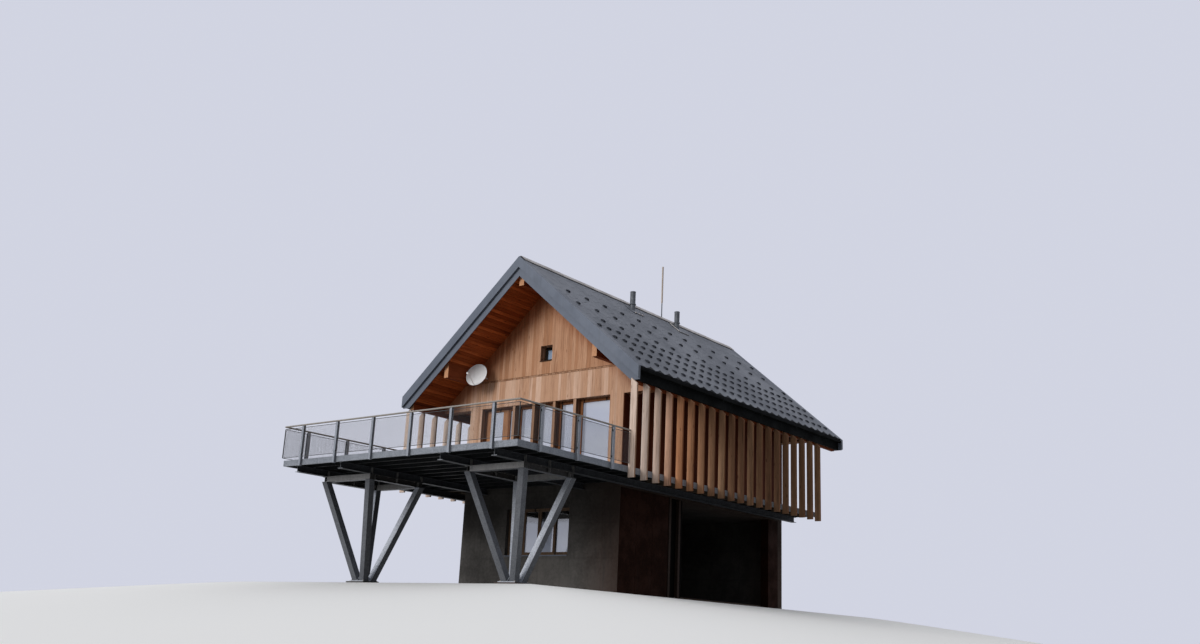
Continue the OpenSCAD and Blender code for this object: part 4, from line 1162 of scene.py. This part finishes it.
# %% [markdown]
# ## Wire panels of the railing
# Each bay of the railing holds a steel frame with welded wire mesh. A frame is a plane that is inset
# and emptied, then thickened. The wires are thin rods repeated across it. The panels take the place
# of the plain rods of the solids.


# %% A frame
def open_frame(x0, x1, z0, z1, y, width, deep, soften):
    """A rectangular frame that stands in XZ: a plane, inset, emptied, thickened and bevelled."""
    obj = edit(upright(x0, x1, z0, z1, y))
    bpy.ops.mesh.select_all(action="SELECT")
    bpy.ops.mesh.inset(thickness=width)
    bpy.ops.mesh.delete(type="FACE")
    return chamfer(apply(done(obj), "SOLIDIFY", thickness=deep, offset=0), soften)


print("frame helper ready")

# %% A wire panel
POST = 0.08
RAIL_Y, RAIL_X = DECK_FRONT - POST / 2, DECK_X + POST / 2
BAR, MESH_PITCH, WIRE = 0.016, 0.025, 0.0016
CLEAR = POST / 2 + 0.02
PANEL_LOW, PANEL_HIGH = DECK_Z + 0.07, DECK_Z + 0.955
POST_STEP, FIRST_POST = 1.545, 0.835


def wire_panel(x0, x1):
    """A framed mesh panel in the XZ plane, centred on y = 0."""
    rim = open_frame(x0, x1, PANEL_LOW, PANEL_HIGH, 0, BAR, BAR, 0.003)
    width, height = x1 - x0 - 2 * BAR, PANEL_HIGH - PANEL_LOW - 2 * BAR
    across, down = round(width / MESH_PITCH), round(height / MESH_PITCH)
    x, z = x0 + BAR + width / across, PANEL_LOW + BAR + height / down
    standing = rod((x, -WIRE, PANEL_LOW + BAR / 2), (x, -WIRE, PANEL_HIGH - BAR / 2), WIRE, 4)
    repeat(standing, across - 1, (width / across, 0, 0))
    lying = rod((x0 + BAR / 2, WIRE, z), (x1 - BAR / 2, WIRE, z), WIRE, 4)
    repeat(lying, down - 1, (0, 0, height / down))
    return join([rim, standing, lying])


post_places = [i * POST_STEP for i in (-2.5, -1.5, -0.5, 0.5, 1.5, 2.5)]
side_posts = [DECK_FRONT + FIRST_POST + i * POST_STEP for i in range(3)]
FIN_STEP, FIN_T = 0.605, 0.06
first_fin = {-1: WALL_Y - 1.41, 1: WALL_Y - 1.61}
print("posts at", [round(v, 2) for v in post_places], [round(v, 2) for v in side_posts])


# %% All the panels
def panel_row(first, posts, last):
    """A panel in every bay from first to last, held to the posts by lugs."""
    ends = [first] + [post + side * CLEAR for post in posts for side in SIDES] + [last]
    parts = [wire_panel(a, b) for a, b in zip(ends[::2], ends[1::2])]
    for post in posts:
        for z in (PANEL_LOW + 0.05, PANEL_HIGH - 0.1):
            parts.append(block((post - CLEAR, -0.005, z), (post + CLEAR, 0.005, z + 0.05), 0.001))
    return join(parts)


end = RAIL_X + BAR / 2
front_row = placed(panel_row(-end, post_places, end), (0, RAIL_Y, 0))
keep(front_row, "wire_panels_front", wire_steel, ["rail_panels_front"])
rows = []
for side in SIDES:
    row = panel_row(RAIL_Y + BAR / 2, side_posts, first_fin[side] - FIN_T / 2 - 0.015)
    rows.append(placed(row, (side * RAIL_X, 0, 0), (0, 0, QUARTER_TURN)))
keep(join(rows), "wire_panels_sides", wire_steel, ["rail_panels_sides"])

# %% [markdown]
# ## Sashes and weather bars
# Inside each fixed frame sits a sash, a second frame that steps forward and holds the pane, with a
# metal weather bar along its foot. The sash is modelled like the panel's rim.

# %% Sashes
FRAME_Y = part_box("front_window_frames")[0].y
SASH_W, SASH_DEEP, NARROW_SASH_W, SASH_OUT = 0.045, 0.05, 0.04, 0.014
REAR_FRAME_IN = 0.24
FRONT_SASH_Y, REAR_SASH_Y = FRAME_Y - SASH_OUT, REAR_FRAME_IN - REAR_Y - SASH_OUT
LOWER_SASH_Y = low_lo.y - 0.012
PANES = ((-2.65, -1.735), (-1.665, -1.42), (-1.17, -0.565), (-0.315, 0.315), (0.565, 1.17), (1.42, 2.65))
LOWER_PANES = ((-1.23, -0.685), (-0.615, -0.035), (0.035, 0.615), (0.685, 1.23))


def sash(x0, x1, z0, z1, y, width=SASH_W):
    """A sash with its front face at y, looking towards -Y."""
    return open_frame(x0, x1, z0, z1, y + SASH_DEEP / 2, width, SASH_DEEP, 0.005)


def attic_sash(y):
    return sash(-0.2, 0.2, attic[2] + 0.05, attic[3] - 0.05, y, NARROW_SASH_W)


front_sashes = [sash(a - 0.018, b + 0.018, DECK_Z + 0.055, HEAD_Z - 0.052, FRONT_SASH_Y) for a, b in PANES]
bars = [block((a - 0.01, FRAME_Y - 0.034, DECK_Z + 0.05), (b + 0.01, FRAME_Y - 0.01, DECK_Z + 0.075), 0.003)
        for a, b in PANES]
stiles = [block((a, FRAME_Y - 0.012, DECK_Z + 0.1), (b, FRAME_Y + 0.034, HEAD_Z - 0.097), 0.003)
          for a, b in ((-1.96, -1.75), (-2.63, -2.45))]
keep(join([front_sashes.pop(0)] + stiles), "terrace_door_leaf", leaf_wood)
keep(join(front_sashes), "sashes_front", frame_wood)
keep(attic_sash(FRONT_SASH_Y), "sash_attic", shade_wood)
lower_sashes = [sash(a - 0.015, b + 0.015, low_lo.z + 0.055, low_hi.z - 0.055, LOWER_SASH_Y, NARROW_SASH_W)
                for a, b in LOWER_PANES]
keep(join(lower_sashes), "sashes_lower", lower_wood)
rear_sashes = [sash(x + a - 0.015, x + b + 0.015, DECK_Z + 0.955, DECK_Z + 2.045, REAR_SASH_Y)
               for x in (-REAR_X, REAR_X) for a, b in ((-0.53, -0.035), (0.035, 0.53))]
rear_sashes.append(attic_sash(REAR_SASH_Y))
keep(placed(join(rear_sashes), (0, 0, 0), (0, 0, HALF_TURN)), "sashes_rear", frame_wood)

# %% [markdown]
# ## Sills and drips
# Folded metal sills throw the rain clear of the wall. The drip board has a strip of metal on top for
# the same reason, painted dark brown as a painted shadow line.

# %% Sills
sills = []
for x0, x1, z, y_back, face in ((-ATTIC_HALF, ATTIC_HALF, attic[2], FRAME_Y, WALL_Y - BOARD_THICK),
                                (low_lo.x, low_hi.x, low_lo.z, low_lo.y, WALL_Y)):
    sill = edit(block((x0 + 0.002, face - 0.028, z - 0.003), (x1 - 0.002, y_back, z + 0.004)))
    pick(sill, lambda c, v: c.y < face, "verts")
    move(z=-0.012)
    pick(sill, lambda c, f: f.normal.y < -0.9)
    pull(y=-0.003, z=-0.022)
    sills.append(done(sill))
drips = [sills.pop(0)]
reach = (SOFFIT_TOP - DRIP_TOP) / SLOPE
for y, out in ((WALL_Y, -1), (REAR_Y, 1)):
    drips.append(block((-reach, y, DRIP_TOP), (reach, y + out * 0.042, DRIP_TOP + 0.006), 0.002))
keep(join(sills + bars), "sills_and_weather_bars", trim_grey)
keep(join(drips), "drip_strips", drip_shadow_metal)

# %% [markdown]
# ## Sheet panels on the lower side wall
# The lower side wall is faced with three rusty brown panels, screwed through at their edges. Their
# brown is painted very dark, a painted shade under the gallery.

# %% Side panels
PANELS, PANEL_EDGE, PANELS_END = 3, 0.004, WALL_Y + 2.6
SCREWS, SCREW_STEP = 6, 0.585
panel_parts = []
panel_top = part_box("lower_wall_right")[1].z - PANEL_EDGE
first_y = WALL_Y + PANEL_EDGE
width = (PANELS_END - first_y) / PANELS
for i in range(PANELS):
    y0, y1 = first_y + i * width + PANEL_EDGE, first_y + (i + 1) * width - PANEL_EDGE
    panel_parts.append(block((CORE_X - 0.002, y0, 0.02), (CORE_X + 0.008, y1, panel_top), 0.002))
    for y in (y0 + 0.05, y1 - 0.05):
        screw = rod((CORE_X + 0.006, y, 0.12), (CORE_X + 0.012, y, 0.12), 0.008, 8)
        panel_parts.append(repeat(screw, SCREWS, (0, 0, SCREW_STEP)))
keep(join(panel_parts), "lower_side_panels", rust)

# %% [markdown]
# ## Bolts and plates of the steelwork
# Anchor bolts hold the foot plates down, and smaller ones join the rings to the beams and the railing
# posts to the edge channel. A hexagon bolt is a six-sided cylinder with a washer under it. Gussets
# and stiffeners are cut from plate.


# %% One bolt
def hex_bolt(radius, height):
    """A hexagon head on a washer, standing on z = 0."""
    washer = rod((0, 0, 0), (0, 0, 0.003), radius * 1.5, 14)
    head = edit(rod((0, 0, 0.003), (0, 0, 0.003 + height), radius, 6))
    pick(head, lambda c, f: f.normal.z > 0.9)
    bpy.ops.mesh.inset(thickness=radius * 0.18)
    move(z=0.001)
    return join([washer, done(head)])


def bolt_place(spot, direction):
    """Where a bolt goes, and which way its head looks."""
    return Matrix.Translation(spot) @ Vector(direction).to_track_quat("Z", "Y").to_matrix().to_4x4()


print("bolt ready")

# %% Steelwork fixings
STANDS = (-3.27, 2.77)
RING_W, RING_D, RING_Y = 1.97, 2.02, WALL_Y - 4.015
PAIR = (-0.024, 0.024)
ANCHOR, FOOT_TOP = 0.26, 0.085
ROWS = (DECK_Z - 0.04, DECK_Z - 0.13)
anchors = [(sx + i * ANCHOR, RING_Y + j * ANCHOR, FOOT_TOP) for sx in STANDS for i in SIDES for j in SIDES]
ring_bolts = [bolt_place((sx + i * RING_W / 2 + k, RING_Y + j * RING_D / 2, BEAM_Z - 0.014), (0, 0, -1))
              for sx in STANDS for i in SIDES for j in (-0.72, -0.36, 0.36, 0.72) for k in (-0.06, 0.06)]
post_bolts = [bolt_place((x + dx, DECK_FRONT - 0.01, z), (0, -1, 0))
              for x in post_places for z in ROWS for dx in PAIR]
post_bolts += [bolt_place((side * (DECK_X + 0.01), y + dy, z), (side, 0, 0))
               for side in SIDES for y in side_posts for z in ROWS for dy in PAIR]
fixings = [copies(hex_bolt(0.024, 0.022), anchors), copies(hex_bolt(0.012, 0.01), ring_bolts),
           copies(hex_bolt(0.008, 0.007), post_bolts)]
keep(join(fixings), "bolts", rail_steel)

# %% Gussets at the feet and stiffeners in the rings
gussets = []
for sx in STANDS:
    for turn in range(4):
        gusset = edit(block((0.16, -0.006, FOOT_TOP), (0.29, 0.006, 0.21)))
        pick(gusset, lambda c, v: c.x > 0.2 and c.z > 0.15, "verts")
        move(x=-0.11)
        gussets.append(placed(done(gusset), (sx, RING_Y, 0), (0, 0, turn * QUARTER_TURN)))
PLATES = (  # half width, lower and upper edge from the beams' foot, places along the ring
    (0.093, -0.152, -0.012, (-0.86, 0.0, 0.86)),
    (0.098, 0.011, 0.179, (-1, 0, 1)),
)
for half, low, high, places in PLATES:
    for x in (sx + i * RING_W / 2 for sx in STANDS for i in SIDES):
        for y in (RING_Y + j * RING_D / 2 for j in places):
            gussets.append(block((x - half, y - 0.005, BEAM_Z + low), (x + half, y + 0.005, BEAM_Z + high)))
keep(join(gussets), "gussets_and_stiffeners", stand_steel)

# %% [markdown]
# ## Handrail saddles and fin brackets
# A small saddle plate carries the handrail on each post, and each fin is held to the steel edge by
# an angle cleat.

# %% Saddles
POST_TOP = DECK_Z + 1.0
saddle_places = [(x, RAIL_Y, POST_TOP) for x in post_places]
saddle_places += [(side * RAIL_X, y, POST_TOP) for side in SIDES for y in side_posts]
saddle = block((-0.04, -0.04, -0.008), (0.04, 0.04, 0.002), 0.002)
keep(copies(saddle, saddle_places), "handrail_saddles", rail_steel)

# %% Fin cleats
cleats = []
for side, y in first_fin.items():
    x, face = side * (DECK_X + 0.003), y + FIN_T / 2
    flange = folded([(x, DECK_Z - 0.15), (x, DECK_Z - 0.02)], face + 0.003, face + 0.06, 0.006)
    leg = block((side * DECK_X, face, DECK_Z - 0.15),
                (side * (DECK_X + 0.06), face + 0.006, DECK_Z - 0.02), 0.001)
    count = 1 + int((REAR_Y - y) / FIN_STEP)
    cleats.append(repeat(join([flange, leg]), count, (0, FIN_STEP, 0)))
keep(join(cleats), "fin_cleats", rail_steel)

# %% [markdown]
# ## Flue collars and flashings
# A storm collar closes each flue above its flashing plate, and a band stiffens its mouth. The
# plates are dished skirts, with folded edges that lead the water round the flues.

# %% Flue collars
FLUES = ((0.43, WALL_Y + 4.09, 0.67), (0.36, WALL_Y + 7.08, 0.64))
FLUE_R = 0.1
collars = []
for x, y, height in FLUES:
    base = roof_z(x)
    collar = fresh(bpy.ops.mesh.primitive_cone_add, vertices=32, radius1=FLUE_R + 0.025,
                   radius2=FLUE_R + 0.005, depth=0.05, location=(x, y, base + 0.2), end_fill_type="NOTHING")
    collars.append(apply(settle(collar), "SOLIDIFY", thickness=0.003, offset=0))
    band = edit(rod((x, y, base + height - 0.03), (x, y, base + height - 0.004), FLUE_R + 0.003, 32))
    pick(band, lambda c, f: abs(f.normal.z) > 0.9)
    bpy.ops.mesh.delete(type="FACE")
    collars.append(apply(done(band), "SOLIDIFY", thickness=0.004, offset=0))
keep(join(collars), "flue_collars", flue_steel, smooth=40)

# %% Flashing skirts round the flues
skirts = []
for x, y, height in FLUES:
    skirt = edit(block((x / math.cos(PITCH) - 0.2, y - 0.35, 0.014), (0.92, y + 0.35, 0.026), 0.003))
    pick(skirt, lambda c, f: f.normal.z > 0.9)
    bpy.ops.mesh.inset(thickness=0.03)
    move(z=-0.004)
    skirts.append(done(skirt))
keep(onto_slope(join(skirts)), "flue_skirts", roof_grey)
front_y, rear_y = FLUES[0][1], FLUES[1][1]
lips = [block((0.34, rear_y - 0.35, 0.02), (0.92, rear_y - 0.333, 0.045), 0.002),
        block((0.903, rear_y - 0.35, 0.02), (0.92, rear_y + 0.35, 0.036), 0.002)]
for step in (-0.16, 0.06, 0.25):
    lips.append(block((0.88, front_y + step - 0.035, 0.02), (0.94, front_y + step + 0.035, 0.05), 0.006))
keep(onto_slope(join(lips)), "flashing_edges", highlight_cap_metal)

# %% [markdown]
# ## Floor, light and camera
# The chalet stands on a slope and is seen from below, so the pale floor is flat only under the
# building and falls away around it: a wide plane is inset ring by ring, a little higher each time.
# For the camera the floor and the sky are pale. For the light that bounces off it the floor is
# darker, as turf is, so the underside of the terrace stays in shade.


# %% Which rays see the backdrop
def backdrop_rays(tree):
    """1 for the rays that see the pale backdrop: the camera's, and those that metal and glass send on."""
    rays = put(tree, "LightPath").outputs
    sent_on = calc(tree, "MAXIMUM", rays["Is Glossy Ray"], rays["Is Transmission Ray"])
    return calc(tree, "MAXIMUM", rays["Is Camera Ray"], sent_on)


print("ray helper ready")

# %% Floor
FLAT_X, FLAT_Y = (-7.5, 3.95), (-7.35, 12.0)
REACHES = (110.0, 60.0, 32.0, 18.0, 10.0, 6.0, 3.5, 2.0, 1.2, 0.7, 0.35, 0.15, 0.0)


def ground(reach):
    """The floor's height this far outside its flat part."""
    return -0.002 - 0.14 * reach * reach / (reach + 0.6)


floor = fresh(bpy.ops.mesh.primitive_plane_add, size=1,
              location=(sum(FLAT_X) / 2, sum(FLAT_Y) / 2, ground(REACHES[0])))
floor.scale = (FLAT_X[1] - FLAT_X[0] + 2 * REACHES[0], FLAT_Y[1] - FLAT_Y[0] + 2 * REACHES[0], 1)
edit(settle(floor))
bpy.ops.mesh.select_mode(type="FACE")
bpy.ops.mesh.select_all(action="SELECT")
for outer, inner in zip(REACHES, REACHES[1:]):
    bpy.ops.mesh.inset(thickness=outer - inner, depth=ground(inner) - ground(outer))
alone(done(floor))
bpy.ops.object.shade_smooth_by_angle(angle=math.radians(40))
floor.name = "floor"

floor_paint, tree, shader, place = new_paint("Pale floor", Roughness=0.95, Specular_IOR_Level=0.1)
feed(tree, shader, Base_Color=mix(tree, backdrop_rays(tree), (0.34, 0.335, 0.32, 1), (0.92, 0.92, 0.93, 1)))
floor.data.materials.append(floor_paint)
print("floor", len(floor.data.polygons), "faces")

# %% Sky
world = bpy.data.worlds.new("Studio")
bpy.context.scene.world = world
world.use_nodes = True
tree = world.node_tree
tree.nodes.clear()
backdrop = put(tree, "Background", {"Color": (0.64, 0.66, 0.76, 1), "Strength": 1.0}).outputs[0]
x, y, z = apart(tree, put(tree, "TexCoord").outputs["Generated"])
low_right = calc(tree, "MULTIPLY", span(tree, x, -0.3, 0.7), span(tree, z, 0.05, 0.65, 1.0, 0.0))
strength = calc(tree, "MULTIPLY_ADD", low_right, -0.5, 0.6)
fill = put(tree, "Background", {"Color": (0.96, 0.98, 1.0, 1), "Strength": strength}).outputs[0]
sky = put(tree, "MixShader", {0: backdrop_rays(tree), 1: fill, 2: backdrop}).outputs[0]
put(tree, "OutputWorld", {0: sky})
print("sky ready")

# %% Sun
sun = bpy.data.lights.new("Soft sun", "SUN")
sun.energy = 1.8
sun.angle = math.radians(30)
sun.color = (1.0, 0.98, 0.95)
sun_object = bpy.data.objects.new("Soft sun", sun)
sun_object.rotation_mode = "QUATERNION"
sun_object.rotation_quaternion = Vector((-0.18, -0.9, 0.34)).to_track_quat("Z", "Y")
bpy.context.scene.collection.objects.link(sun_object)
bpy.context.scene.view_settings.view_transform = "Standard"
print("light ready")

# %% [markdown]
# ## The camera
# The picture was taken from well below the terrace, looking up at it. The camera's place and its
# three angles are set so that the ridge, eaves and terrace edge run as they do in the picture.

# %% Camera
YAW, TILT, ROLL = math.radians(38.08), math.radians(15.87), math.radians(2.60)
EYE = Vector((23.415, -29.745, -1.309))
FOCAL = 33.507
ahead = Vector((-math.sin(YAW) * math.cos(TILT), math.cos(YAW) * math.cos(TILT), math.sin(TILT)))
level = Vector((math.cos(YAW), math.sin(YAW), 0))
upward = level.cross(ahead)
right = math.cos(ROLL) * level + math.sin(ROLL) * upward
up = -math.sin(ROLL) * level + math.cos(ROLL) * upward
lens = bpy.data.cameras.new("Camera")
lens.sensor_width = 36.0
lens.lens = FOCAL
lens.clip_end = 1000.0
camera = bpy.data.objects.new("Camera", lens)
camera.matrix_world = Matrix((
    (right.x, up.x, -ahead.x, EYE.x), (right.y, up.y, -ahead.y, EYE.y),
    (right.z, up.z, -ahead.z, EYE.z), (0, 0, 0, 1)))
bpy.context.scene.collection.objects.link(camera)
bpy.context.scene.camera = camera
print("camera ready")
